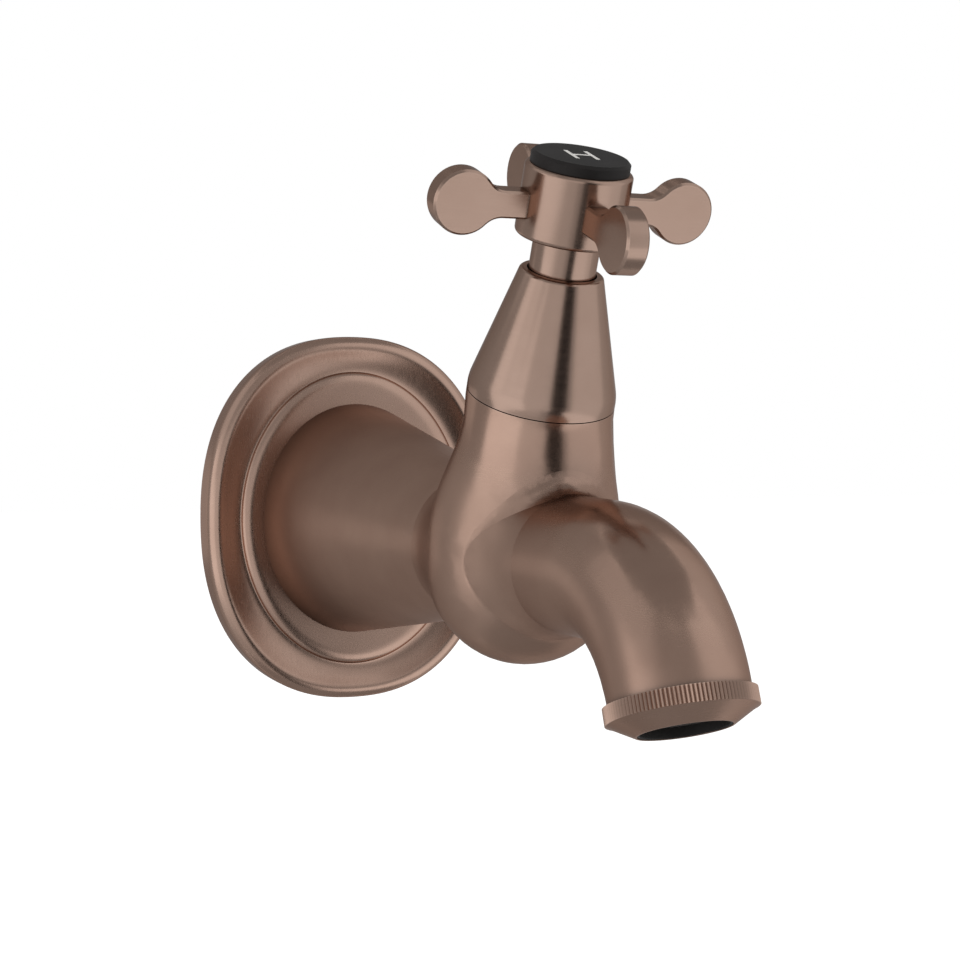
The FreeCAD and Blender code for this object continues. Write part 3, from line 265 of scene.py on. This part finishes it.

# %% [markdown]
# ## Antique copper
# Copper plating toned down with brown, brushed with a fine belt and waxed. It is all metal, so its colour
# is the colour of its reflection. The lines of the belt change the gloss more than the colour, and they
# only just stand up in the light. Four finishes share one function: the casting is glossy at its turned
# neck and duller below it, the pieces on the stem are turned, the plate is pressed, and the ring at the
# outlet is turned about an axis of its own. All four carry painted shade in their corners, and the casting
# also carries it in its hollows. The plate and the ring take a lighter copy of the copper as painted light.

# %% Tones of the copper
CAST_TONES = ((0.460, 0.301, 0.236), (0.515, 0.346, 0.272))
TURNED_TONES = ((0.422, 0.290, 0.231), (0.468, 0.327, 0.265))
# painted light: the plate and the outlet ring take a lighter copy of the same copper, as though they stood in
# brighter light
PLATE_TONES_WITH_PAINTED_LIGHT = ((0.505, 0.338, 0.268), (0.565, 0.386, 0.309))
TONE_RANGE = (0.32, 0.68)  # values of the clouds that show the deep and the light tone
COPPER_RUBBED = (0.57, 0.42, 0.345)
COPPER_GRAZING = (0.60, 0.53, 0.50)
# painted shade: dark copper that the corner and hollow masks lay where the real piece is only in shade
PAINTED_CORNER_SHADE = (0.085, 0.055, 0.042)
PAINTED_HOLLOW_SHADE = (0.135, 0.105, 0.092)
EDGE_WIDTH = 0.35 * MM
RUB_STRENGTH = 0.55
# how strongly the painted shade darkens tight corners
PAINTED_CORNER_SHADE_STRENGTH = 0.85
CORNER_ROUGHNESS = 0.25
STEM_BASE = STEM_FOOT.dot(STEM_AXIS)
NECK_LOW = STEM_BASE + 13 * MM
NECK_HIGH = STEM_BASE + 24 * MM


# %% Antique copper
def copper_colour(tree, grain, wear_and_shade, tones, painted_hollow_shade):
    """Clouds of two tones, lighter on worn edges, with painted shade in hollows and corners."""
    body = ramp(tree, grain.outputs["Clouds"], tuple(zip(TONE_RANGE, tones)))
    rubbed = mixed(tree, scaled(tree, wear_and_shade.outputs["Edges"], RUB_STRENGTH), body, COPPER_RUBBED)
    # painted shade: darker copper laid into wide hollows and then into tight corners
    with_hollow_shade = mixed(tree, scaled(tree, wear_and_shade.outputs["Shelter"], painted_hollow_shade), rubbed, PAINTED_HOLLOW_SHADE)
    return mixed(tree, scaled(tree, wear_and_shade.outputs["Corners"], PAINTED_CORNER_SHADE_STRENGTH), with_hollow_shade, PAINTED_CORNER_SHADE)


def copper_roughness(tree, grain, wear_and_shade, gloss, dull):
    """Roughness between the two values of gloss, with more in corners and below the turned neck."""
    lines = spread(tree, grain.outputs["Lines"], *NOISE_RANGE, *gloss)
    rough = calculated(tree, "ADD", lines, scaled(tree, wear_and_shade.outputs["Corners"], CORNER_ROUGHNESS))
    if dull:
        height = tree.nodes.new("ShaderNodeSeparateXYZ")
        link(tree, object_place(tree, STEM_LEAN), height.inputs["Vector"])
        below = spread(tree, height.outputs["Z"], NECK_LOW, NECK_HIGH, dull, 0.0)
        rough = calculated(tree, "ADD", rough, below)
    return rough


def antique_copper(name, tones, lean, grain_scale, gloss, relief, painted_hollow_shade=0.0, dull=0.0, corner=1.2 * MM):
    """Brushed copper: lean turns the grain, grain_scale squeezes it along and across, relief is the depth
    of its lines, shelter the strength of the painted shade in hollows, and corner the reach of the corner
    mask, which paints shade and adds roughness."""
    material, tree, shader = start_material(name)
    along, across = grain_scale
    grain = add(tree, "ShaderNodeGroup", node_tree=BRUSHING, Along=along, Across=across)
    link(tree, object_place(tree, lean), grain.inputs["Vector"])
    wear_and_shade = add(tree, "ShaderNodeGroup", node_tree=WEAR_AND_SHADE)
    wear_and_shade.inputs["Edge Width"].default_value = EDGE_WIDTH
    wear_and_shade.inputs["Corner Depth"].default_value = corner
    link(tree, copper_colour(tree, grain, wear_and_shade, tones, painted_hollow_shade), shader.inputs["Base Color"])
    link(tree, copper_roughness(tree, grain, wear_and_shade, gloss, dull), shader.inputs["Roughness"])
    raise_lines(tree, grain, relief, shader)
    shader.inputs["Metallic"].default_value = 1.0
    shader.inputs["Specular Tint"].default_value = (*COPPER_GRAZING, 1)
    return material


# %% Four copper finishes
COPPER_FINISHES = {
    # the casting also takes painted shade in its wide hollows
    "casting": dict(tones=CAST_TONES, lean=0.0, grain_scale=(900.0, 4200.0), gloss=(0.19, 0.25),
                    relief=0.3 * MICRON, painted_hollow_shade=0.9, dull=0.13),
    "turned": dict(tones=TURNED_TONES, lean=STEM_LEAN, grain_scale=(150.0, 9000.0), gloss=(0.17, 0.25),
                   relief=1.5 * MICRON),
    # the plate and the outlet ring use the lighter copper as painted light
    "plate": dict(tones=PLATE_TONES_WITH_PAINTED_LIGHT, lean=0.0, grain_scale=(2500.0, 400.0), gloss=(0.22, 0.29),
                  relief=0.12 * MICRON, corner=0.5 * MM),
    "outlet": dict(tones=PLATE_TONES_WITH_PAINTED_LIGHT, lean=-OUTLET_LEAN, grain_scale=(150.0, 9000.0), gloss=(0.26, 0.34),
                   relief=1.0 * MICRON),
}
copper = {name: antique_copper("antique_copper_" + name, **values)
          for name, values in COPPER_FINISHES.items()}
print("copper finishes", len(copper))

# %% [markdown]
# ## Brass, steel, rubber, fibre, ceramic and plastic
# Most inner pieces are seen only from behind or when the tap is taken apart, but each has its own finish:
# turned brass with rings left by the tool, drawn steel, moulded rubber with a soft bloom, pressed red
# fibre, lapped ceramic and plain moulded plastic. One function builds them from a table of colours and
# grains.

# %% Plain finishes
SMALL_CLOUDS = 180.0
CAP_SHINE = 0.22


def plain_finish(name, dark, light, metallic, gloss, across, relief, lean=0.0, along=None):
    """A finish whose colour, gloss and relief all vary with one grain."""
    material, tree, shader = start_material(name)
    grain = add(tree, "ShaderNodeGroup", node_tree=BRUSHING, Across=across)
    grain.inputs["Along"].default_value = across if along is None else along
    grain.inputs["Cloud Scale"].default_value = SMALL_CLOUDS
    link(tree, object_place(tree, lean), grain.inputs["Vector"])
    colour = ramp(tree, grain.outputs["Clouds"], tuple(zip(NOISE_RANGE, (dark, light))))
    link(tree, colour, shader.inputs["Base Color"])
    link(tree, spread(tree, grain.outputs["Lines"], *NOISE_RANGE, *gloss), shader.inputs["Roughness"])
    raise_lines(tree, grain, relief, shader)
    shader.inputs["Metallic"].default_value = metallic
    return material


BRASS_TONES = ((0.60, 0.42, 0.17), (0.72, 0.52, 0.24))
PLAIN_FINISHES = {
    # dark tone, light tone, metallic, gloss, grain across, relief, lean, grain along
    "brass_stem": (*BRASS_TONES, 1.0, (0.22, 0.34), 7000.0, 4 * MICRON, STEM_LEAN, 150.0),
    "brass_inlet": (*BRASS_TONES, 1.0, (0.22, 0.34), 500.0, 3 * MICRON, 0.0, 3000.0),
    "steel": ((0.50, 0.50, 0.49), (0.62, 0.62, 0.61), 1.0, (0.22, 0.36), 5000.0, 3 * MICRON, 0.0, 300.0),
    "rubber": ((0.014, 0.014, 0.015), (0.028, 0.028, 0.029), 0.0, (0.5, 0.7), 5000.0, 8 * MICRON),
    "fibre": ((0.34, 0.075, 0.045), (0.46, 0.13, 0.08), 0.0, (0.6, 0.8), 4000.0, 12 * MICRON),
    "ceramic": ((0.80, 0.78, 0.73), (0.86, 0.84, 0.80), 0.0, (0.12, 0.2), 3000.0, 1 * MICRON),
    "acetal": ((0.78, 0.78, 0.75), (0.84, 0.84, 0.81), 0.0, (0.35, 0.45), 3000.0, 3 * MICRON),
    "black_plastic": ((0.011, 0.0095, 0.009), (0.016, 0.0135, 0.013), 0.0, (0.5, 0.58), 9000.0, 3 * MICRON),
    "grey_plastic": ((0.072, 0.064, 0.060), (0.10, 0.09, 0.084), 0.0, (0.35, 0.45), 7000.0, 4 * MICRON),
    "white_inlay": ((0.66, 0.64, 0.61), (0.74, 0.72, 0.69), 0.0, (0.4, 0.5), 6000.0, 2 * MICRON),
}
finishes = {name: plain_finish(name, *values) for name, values in PLAIN_FINISHES.items()}
cap_shader = finishes["black_plastic"].node_tree.nodes["Principled BSDF"]
cap_shader.inputs["Specular IOR Level"].default_value = CAP_SHINE
print("plain finishes", len(finishes))

# %% [markdown]
# ## Finish of every node
# A node keeps its shape from CAD and only its material changes.

# %% Assign the finishes
FINISH_NODES = (
    (copper["casting"], ("tap_body",)),
    (copper["turned"], ("bonnet", "neck_sleeve", "cross_handle")),
    (copper["plate"], ("wall_flange",)),
    (copper["outlet"], ("aerator_ring",)),
    (finishes["brass_inlet"], ("inlet_nipple",)),
    (finishes["brass_stem"], ("headwork_body", "spindle", "spline_bush")),
    (finishes["steel"], ("inlet_strainer", "spindle_clip", "handle_screw", "aerator_mesh")),
    (finishes["rubber"], ("flange_o_ring", "strainer_washer", "seat_seal", "spindle_o_rings", "cap_o_ring",
                          "aerator_washer")),
    (finishes["fibre"], ("nipple_seal", "headwork_gasket")),
    (finishes["ceramic"], ("fixed_disc", "moving_disc")),
    (finishes["acetal"], ("thrust_washer",)),
    (finishes["black_plastic"], ("index_cap",)),
    (finishes["grey_plastic"], ("aerator_insert",)),
)
NODE_FINISH = {name: finish for finish, names in FINISH_NODES for name in names}
for name, node in frame["nodes"].items():
    node.data.materials.clear()
    node.data.materials.append(NODE_FINISH[name])
print("finished nodes", len(NODE_FINISH))

# %% [markdown]
# ## Helpers for modelling
# Each new piece starts from a primitive and is shaped in edit mode. Two helpers choose what an operator
# acts on. One puts a piece's place into its mesh, so that its object stays at the origin as the CAD nodes
# do. The last gives a finished piece its body and its material.

# %% Modelling helpers
def select_only(thing):
    """Deselects everything else and makes a piece the active one."""
    bpy.ops.object.select_all(action="DESELECT")
    thing.select_set(True)
    bpy.context.view_layer.objects.active = thing


def apply_place(thing):
    """Moves a piece's place, turn and scale into its mesh."""
    select_only(thing)
    bpy.ops.object.transform_apply(location=True, rotation=True, scale=True)


def pick(thing, mode, chosen):
    """In edit mode, selects only the faces or vertices for which chosen(its middle) is true."""
    bpy.ops.object.mode_set(mode="EDIT")
    bpy.ops.mesh.select_mode(type=mode)
    bpy.ops.mesh.select_all(action="DESELECT")
    bpy.ops.object.mode_set(mode="OBJECT")
    for part in (thing.data.polygons if mode == "FACE" else thing.data.vertices):
        part.select = chosen(part.center if mode == "FACE" else part.co)
    bpy.ops.object.mode_set(mode="EDIT")


def finish_piece(thing, body, slot, material, *replaced):
    """Gives a piece its body and its material; the slot argument is not used."""
    thing.data.materials.clear()
    thing.data.materials.append(material)
    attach(thing, body)
    if replaced:
        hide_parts(*replaced)
    print(thing.name, "faces", len(thing.data.polygons))


# %% [markdown]
# ## Wall plate
# The real plate is pressed from sheet in one stroke, so light runs over its beads without a break. The CAD
# plate turns each bead in five narrow bands, which show in the reflections. Here one ring of edges is
# extruded along the section of the sheet, from the hole over the step, the shallow valley and the outer
# bead and back behind them. Its outer part is then made squarer, and a Subdivision Surface rounds the
# bands.

# %% Extrude rings along an outline
def ring_piece(name, outline, sides):
    """A closed ring about Y: the outline gives half width, half height and place in millimetres."""
    wide, high, place = outline[0]
    bpy.ops.object.select_all(action="DESELECT")
    bpy.ops.mesh.primitive_circle_add(vertices=sides, radius=wide * MM, location=(0, place * MM, 0),
                                      rotation=(math.radians(90), 0, 0))
    made = bpy.context.object
    made.name = name
    apply_place(made)
    bpy.ops.object.mode_set(mode="EDIT")
    bpy.ops.mesh.select_mode(type="EDGE")
    bpy.ops.mesh.select_all(action="SELECT")
    bpy.ops.transform.resize(value=(1, 1, high / wide), center_override=(0, place * MM, 0))
    for next_wide, next_high, next_place in outline[1:]:
        move = (0, (next_place - place) * MM, 0)
        bpy.ops.mesh.extrude_region_move(TRANSFORM_OT_translate={"value": move})
        bpy.ops.transform.resize(value=(next_wide / wide, 1, next_high / high),
                                 center_override=(0, next_place * MM, 0))
        wide, high, place = next_wide, next_high, next_place
    bpy.ops.mesh.select_all(action="DESELECT")
    bpy.ops.mesh.select_non_manifold()
    bpy.ops.mesh.bridge_edge_loops()
    bpy.ops.mesh.select_all(action="SELECT")
    bpy.ops.mesh.normals_make_consistent(inside=False)
    bpy.ops.object.mode_set(mode="OBJECT")
    return made


def turned_piece(name, outline, sides):
    """A round ring piece: the outline gives radius and place."""
    return ring_piece(name, [(radius, radius, place) for radius, place in outline], sides)


# %% Press the plate
# Sizes of the plate are half widths and half heights in millimetres, and its depths run out from the wall.
PLATE = (36.4, 44.2)
PLATE_DEPTH = 9.0
PLATE_BEAD = 2.9
STEP = (28.3, 35.5)
STEP_DEPTH = 9.3
STEP_BEAD = 1.4
STEP_BEAD_WIDTH = 2.9
HOLE = 14.4
HOLE_EDGE = HOLE + 0.3
BACK_DEPTH = 7.8
BEAD_STEPS = 5


def bead(size, depth, width, height):
    """Points of a quarter round rim, from the flat to the side."""
    points = []
    for step in range(BEAD_STEPS + 1):
        angle = math.radians(90) * step / BEAD_STEPS
        inset = width * (1 - math.sin(angle))
        points.append((size[0] - inset, size[1] - inset, -(depth - height + height * math.cos(angle))))
    return points


PLATE_OUTLINE = [
    # edge of the hole
    (HOLE, HOLE, -BACK_DEPTH), (HOLE, HOLE, -8.05), (HOLE, HOLE, -9.05), (HOLE, HOLE, -STEP_DEPTH),
    # flat of the step and its bead
    (HOLE_EDGE, HOLE_EDGE, -STEP_DEPTH), (24.4, 31.6, -STEP_DEPTH),
    *bead(STEP, STEP_DEPTH, STEP_BEAD_WIDTH, STEP_BEAD),
    # valley and outer bead
    (28.5, 35.7, -7.85), (29.7, 36.7, -7.75), (31.4, 38.7, -8.15), (32.7, 40.4, -8.72),
    *bead(PLATE, PLATE_DEPTH, PLATE_BEAD, PLATE_BEAD),
    # rim on the wall
    (*PLATE, -0.25), (*PLATE, 0.0), (36.15, 43.95, 0.0), (35.15, 42.95, 0.0), (34.9, 42.7, 0.0),
    # hollow back
    (34.9, 42.7, -0.25), (34.9, 42.7, -6.1), (30.2, 36.4, -5.8), (25.5, 32.7, -5.8),
    (25.2, 32.4, -6.0), (25.2, 32.4, -7.6), (24.9, 32.1, -BACK_DEPTH), (HOLE_EDGE, HOLE_EDGE, -BACK_DEPTH),
]
plate = ring_piece("wall_plate", PLATE_OUTLINE, 64)

# %% Make its outer part squarer and round it
SQUARENESS = 2.29  # power of the superellipse, where 2 is an ellipse
ROUND_SHARE = 0.83  # of the way to the rim: up to here the rings stay elliptic
SQUARE_SHARE = 0.91  # and from here on they are square in full
for point in plate.data.vertices:
    across, up = point.co.x / (PLATE[0] * MM), point.co.z / (PLATE[1] * MM)
    share = math.hypot(across, up)
    way = min(1, max(0, (share - ROUND_SHARE) / (SQUARE_SHARE - ROUND_SHARE)))
    power = 2 / (2 + (SQUARENESS - 2) * way * way * (3 - 2 * way))
    point.co.x = PLATE[0] * MM * share * math.copysign(abs(across / share) ** power, across)
    point.co.z = PLATE[1] * MM * share * math.copysign(abs(up / share) ** power, up)
rounding = plate.modifiers.new("rounding", "SUBSURF")
rounding.levels = rounding.render_levels = 2
select_only(plate)
bpy.ops.object.modifier_apply(modifier="rounding")
bpy.ops.object.shade_smooth_by_angle(angle=math.radians(40))
finish_piece(plate, "tap", "antique_copper", copper["plate"], "wall_flange")

# %% [markdown]
# ## Threaded nipple
# A nipple joins the tap to the pipe in the wall, and its G 1/2 thread shows from behind. It is turned from
# bar, and the thread is cut with a tool of 55 degrees. The same is done here: a ring is extruded along the
# turned outline, and a three-sided cutter is wound along the axis by the Screw modifier and taken away by a
# boolean.

# %% Turn the nipple
PITCH = 1.814 * MM
THREAD_ROOT = 9.32 * MM
CUTTER_TOP = 10.75 * MM
FLANK = math.tan(math.radians(27.5))
NIPPLE_OUTLINE = (
    # radius and place along +Y, in millimetres, from the far end of the wall thread
    (5.5, 15.0), (9.5, 15.0), (10.48, 14.1), (10.48, 0.35), (10.2, 0.0), (11.9, 0.0), (12.2, -0.3),
    (12.2, -3.2), (11.9, -3.5), (8.33, -3.5), (8.33, -16.7), (8.0, -17.0), (5.5, -17.0),
)
nipple = turned_piece("threaded_nipple", NIPPLE_OUTLINE, 96)
print("turned nipple faces", len(nipple.data.polygons))

# %% Cut the thread
CUT_START = 16.2 * MM
CUT_TURNS = 8
CUT_STEPS = 48
bpy.ops.object.select_all(action="DESELECT")
bpy.ops.mesh.primitive_circle_add(vertices=3, radius=1.0)
cutter = bpy.context.object
cutter.name = "thread_cutter"
cutter_half = (CUTTER_TOP - THREAD_ROOT) * FLANK
CUTTER_CORNERS = ((THREAD_ROOT, 0.0), (CUTTER_TOP, cutter_half), (CUTTER_TOP, -cutter_half))
for point, (out_from_axis, up_along) in zip(cutter.data.vertices, CUTTER_CORNERS):
    point.co = (out_from_axis, 0, up_along)
wind = cutter.modifiers.new("wind", "SCREW")
wind.axis = "Z"
wind.screw_offset = PITCH
wind.iterations = CUT_TURNS
wind.steps = wind.render_steps = CUT_STEPS
wind.use_merge_vertices = False
select_only(cutter)
bpy.ops.object.modifier_apply(modifier="wind")
bpy.ops.object.mode_set(mode="EDIT")
bpy.ops.mesh.select_all(action="DESELECT")
bpy.ops.mesh.select_non_manifold()
bpy.ops.mesh.edge_face_add()
bpy.ops.mesh.select_all(action="SELECT")
bpy.ops.mesh.normals_make_consistent(inside=False)
bpy.ops.object.mode_set(mode="OBJECT")
cutter.rotation_euler = (math.radians(90), 0, 0)
cutter.location = (0, CUT_START, 0)
apply_place(cutter)

cut = nipple.modifiers.new("thread", "BOOLEAN")
cut.operation = "DIFFERENCE"
cut.solver = "EXACT"
cut.object = cutter
select_only(nipple)
bpy.ops.object.modifier_apply(modifier="thread")
bpy.data.objects.remove(cutter)
select_only(nipple)
bpy.ops.object.shade_smooth_by_angle(angle=math.radians(25))
finish_piece(nipple, "tap", "raw_brass", finishes["brass_inlet"], "inlet_nipple")

# %% [markdown]
# ## Rim of the aerator
# The aerator's black housing reaches down to the mouth and lines it, so a dark ring shows inside the copper
# lip. It is a thin moulded sleeve with a rounded end. It is turned like the nipple and then tilted to the
# outlet.

# %% Line the mouth
OUTLET_AXIS = Vector((0, math.sin(OUTLET_LEAN), math.cos(OUTLET_LEAN)))
OUTLET_MOUTH = Vector([value for mount in frame["record"]["mounts"] if mount["name"] == "water_outlet"
                       for value in mount["pos_m"]])
LINING_OUTLINE = (
    # radius and place up the outlet from the mouth, in millimetres
    (7.10, 1.75), (7.10, 0.35), (7.16, 0.19), (7.28, 0.10), (7.42, 0.12), (7.50, 0.24), (7.50, 1.75),
)
lining = turned_piece("aerator_lining", LINING_OUTLINE, 96)
lining.rotation_euler = OUTLET_AXIS.to_track_quat("Y", "X").to_euler()
lining.location = OUTLET_MOUTH
apply_place(lining)
bpy.ops.object.shade_smooth_by_angle(angle=math.radians(50))
finish_piece(lining, "tap", "black_plastic", finishes["black_plastic"])

# %% [markdown]
# ## Hot mark
# The cap carries a letter H for hot water, a common mark on such caps: thin light bars let into the black
# disc. A grid of three by three faces gives the letter when its two open fields are deleted. Its columns
# and rows are then moved to the width of the strokes, and the letter is raised by an extrusion and turned
# to lie on the cap, square to the stem.

# %% Model the mark
MARK_WIDTH = 4.6 * MM
MARK_HEIGHT = 5.7 * MM
MARK_STROKE = 0.72 * MM
MARK_RAISE = 0.06 * MM
cap_top = max((point.co - STEM_FOOT).dot(STEM_AXIS) for point in frame["nodes"]["index_cap"].data.vertices)

bpy.ops.object.select_all(action="DESELECT")
bpy.ops.mesh.primitive_grid_add(x_subdivisions=3, y_subdivisions=3, size=1.0)
mark = bpy.context.object
mark.name = "hot_mark"
THIRD = 1 / 6  # edge of the middle field of a grid that is 1 wide
NEAR = 0.01
pick(mark, "FACE", lambda middle: abs(middle.x) < THIRD and abs(middle.y) > THIRD)
bpy.ops.mesh.delete(type="FACE")
for axis, length in ((0, MARK_WIDTH), (1, MARK_HEIGHT)):
    inner = (length / 2 - MARK_STROKE) if axis == 0 else MARK_STROKE / 2
    for side in (-1, 1):
        for start, end in ((0.5, length / 2), (THIRD, inner)):
            pick(mark, "VERT", lambda point: abs(point[axis] - side * start) < NEAR)
            move = [0, 0, 0]
            move[axis] = side * (end - start)
            bpy.ops.transform.translate(value=move)
bpy.ops.mesh.select_all(action="SELECT")
bpy.ops.mesh.extrude_region_move(TRANSFORM_OT_translate={"value": (0, 0, MARK_RAISE)})
bpy.ops.mesh.select_all(action="SELECT")
bpy.ops.mesh.normals_make_consistent(inside=False)
bpy.ops.object.mode_set(mode="OBJECT")
mark.rotation_euler = (STEM_LEAN, 0, 0)
mark.location = STEM_FOOT + STEM_AXIS * (cap_top - MARK_RAISE / 3)
apply_place(mark)
finish_piece(mark, "handle", "white_plastic", finishes["white_inlay"])

# %% [markdown]
# ## Studio
# Polished metal shows its surroundings, so the look of the tap is made by what stands round it. The
# highlights tell what stood there: bright on the left and low on the right, a middle grey in front, and
# darker above, below and behind, with one narrow black strip low in front that draws the dark line down the
# stem. Cards that only reflections can see stand there. The background is white, and the floor isn't
# mirrored in the metal, because it would hide the low cards.

# %% World
WORLD_DIFFUSE = 0.55

scene = bpy.context.scene
scene.view_settings.view_transform = "Standard"
world = bpy.data.worlds.new("studio")
scene.world = world
world.use_nodes = True
tree = world.node_tree
background = tree.nodes["Background"]
path = add(tree, "ShaderNodeLightPath")
seen = calculated(tree, "MAXIMUM", path.outputs["Is Camera Ray"], path.outputs["Is Glossy Ray"])
seen = calculated(tree, "MAXIMUM", seen, path.outputs["Is Transmission Ray"])
background.inputs["Color"].default_value = (1, 1, 1, 1)
link(tree, spread(tree, seen, 0, 1, WORLD_DIFFUSE, 1.0), background.inputs["Strength"])

# %% Floor
FLOOR_LEVEL = -0.30
FLOOR_SIZE = 12.0
FLOOR_TONE = 0.9
FLOOR_GLOW = 0.62

bpy.ops.object.select_all(action="DESELECT")
bpy.ops.mesh.primitive_plane_add(size=FLOOR_SIZE, location=(0, 0, FLOOR_LEVEL))
floor = bpy.context.object
floor.name = "floor"
pale, tree, shader = start_material("pale_floor")
shader.inputs["Base Color"].default_value = (FLOOR_TONE, FLOOR_TONE, FLOOR_TONE, 1)
shader.inputs["Roughness"].default_value = 0.9
shader.inputs["Specular IOR Level"].default_value = 0.0
path = add(tree, "ShaderNodeLightPath")
shader.inputs["Emission Color"].default_value = (1, 1, 1, 1)
link(tree, scaled(tree, path.outputs["Is Camera Ray"], FLOOR_GLOW), shader.inputs["Emission Strength"])
floor.data.materials.append(pale)
floor.visible_glossy = False


# %% Cards that shape the reflections
STUDIO_MIDDLE = Vector((0, -0.1, 0.01))
CARD_STEPS = 8


def direction(azimuth, elevation):
    """A unit vector: azimuth 0 is the front, positive to the right, and elevation is up."""
    a, e = math.radians(azimuth), math.radians(elevation)
    return Vector((math.sin(a) * math.cos(e), -math.cos(a) * math.cos(e), math.sin(e)))


def card(name, left, right, low, high, level, distance):
    """A curved card between two azimuths and two elevations, seen only by reflections."""
    corners = []
    for row in range(CARD_STEPS + 1):
        for column in range(CARD_STEPS + 1):
            azimuth = left + (right - left) * column / CARD_STEPS
            elevation = low + (high - low) * row / CARD_STEPS
            corners.append(STUDIO_MIDDLE + distance * direction(azimuth, elevation))
    wide = CARD_STEPS + 1
    firsts = [row * wide + column for row in range(CARD_STEPS) for column in range(CARD_STEPS)]
    faces = [(first, first + 1, first + wide + 1, first + wide) for first in firsts]
    mesh = bpy.data.meshes.new(name)
    mesh.from_pydata(corners, [], faces)
    made = bpy.data.objects.new(name, mesh)
    scene.collection.objects.link(made)
    made.visible_camera = False
    made.visible_shadow = False
    made.visible_diffuse = False
    material = bpy.data.materials.new(name)
    material.use_nodes = True
    nodes = material.node_tree
    nodes.nodes.clear()
    glow = add(nodes, "ShaderNodeEmission", Strength=level)
    out = nodes.nodes.new("ShaderNodeOutputMaterial")
    link(nodes, glow.outputs["Emission"], out.inputs["Surface"])
    mesh.materials.append(material)


# %% Place the cards
CARDS = (
    # name, left, right, low and high in degrees, level, distance in metres
    ("ceiling", -180, 180, 52, 90, 0.30, 1.6),
    ("left_high", -130, -60, 18, 52, 0.57, 1.6),
    ("front_high", -60, 15, 18, 52, 0.36, 1.6),
    ("right_high", 15, 75, 18, 52, 0.79, 1.6),
    ("far_right_high", 75, 125, 18, 52, 0.60, 1.6),
    ("back_high", 125, 230, 18, 52, 0.34, 1.6),
    ("left_edge", -105, -85, -24, 18, 1.12, 1.6),
    ("left_wall", -85, -50, -24, 4, 1.10, 1.6),
    ("left_upper", -85, -65, 4, 18, 0.95, 1.6),
    ("front_upper", -65, 14, 4, 18, 0.58, 1.6),
    ("front_wall", -50, 14, -24, 4, 0.74, 1.6),
    ("right_edge", 14, 24, -24, 18, 0.48, 1.6),
    ("right_wall", 24, 85, -24, 18, 0.80, 1.6),
    ("back_left", -180, -105, -52, 18, 0.38, 1.6),
    ("back_glow", -178, -140, -8, 5, 0.62, 1.5),
    ("back_right", 85, 160, -52, 18, 0.56, 1.6),
    ("back", 160, 180, -52, 18, 0.40, 1.6),
    ("left_low", -105, -26, -38, -24, 0.62, 1.6),
    ("left_foot", -105, -26, -52, -38, 0.45, 1.6),
    ("front_low", -26, 14, -52, -24, 0.44, 1.6),
    ("right_low", 14, 85, -52, -24, 1.02, 1.6),
    ("ground", -180, 180, -90, -52, 0.30, 1.6),
    ("strip_top", -7, 5, 4, 14, 0.08, 1.4),
    ("strip", -9, 16, -24, 4, 0.02, 1.4),
    ("strip_foot", -13, 10, -60, -24, 0.06, 1.4),
)
for values in CARDS:
    card(*values)
print("cards", len(CARDS))


# %% Lamps
LAMP_SHAPE = 1.5  # height to width


def lamp(name, azimuth, elevation, distance, size, power):
    """A soft rectangular lamp that faces the tap and isn't mirrored in the metal."""
    back = direction(azimuth, elevation)
    bpy.ops.object.light_add(type="AREA", location=STUDIO_MIDDLE + back * distance)
    made = bpy.context.object
    made.name = name
    made.data.shape = "RECTANGLE"
    made.data.size = size
    made.data.size_y = size * LAMP_SHAPE
    made.data.energy = power
    made.visible_glossy = False
    made.rotation_euler = back.to_track_quat("Z", "Y").to_euler()


LAMPS = (
    # name, azimuth, elevation, distance, width, power
    ("left_lamp", -80, 30, 1.2, 0.8, 8.0),
    ("right_lamp", 70, 35, 1.4, 0.8, 5.0),
)
for values in LAMPS:
    lamp(*values)
print("lamps", len(LAMPS))
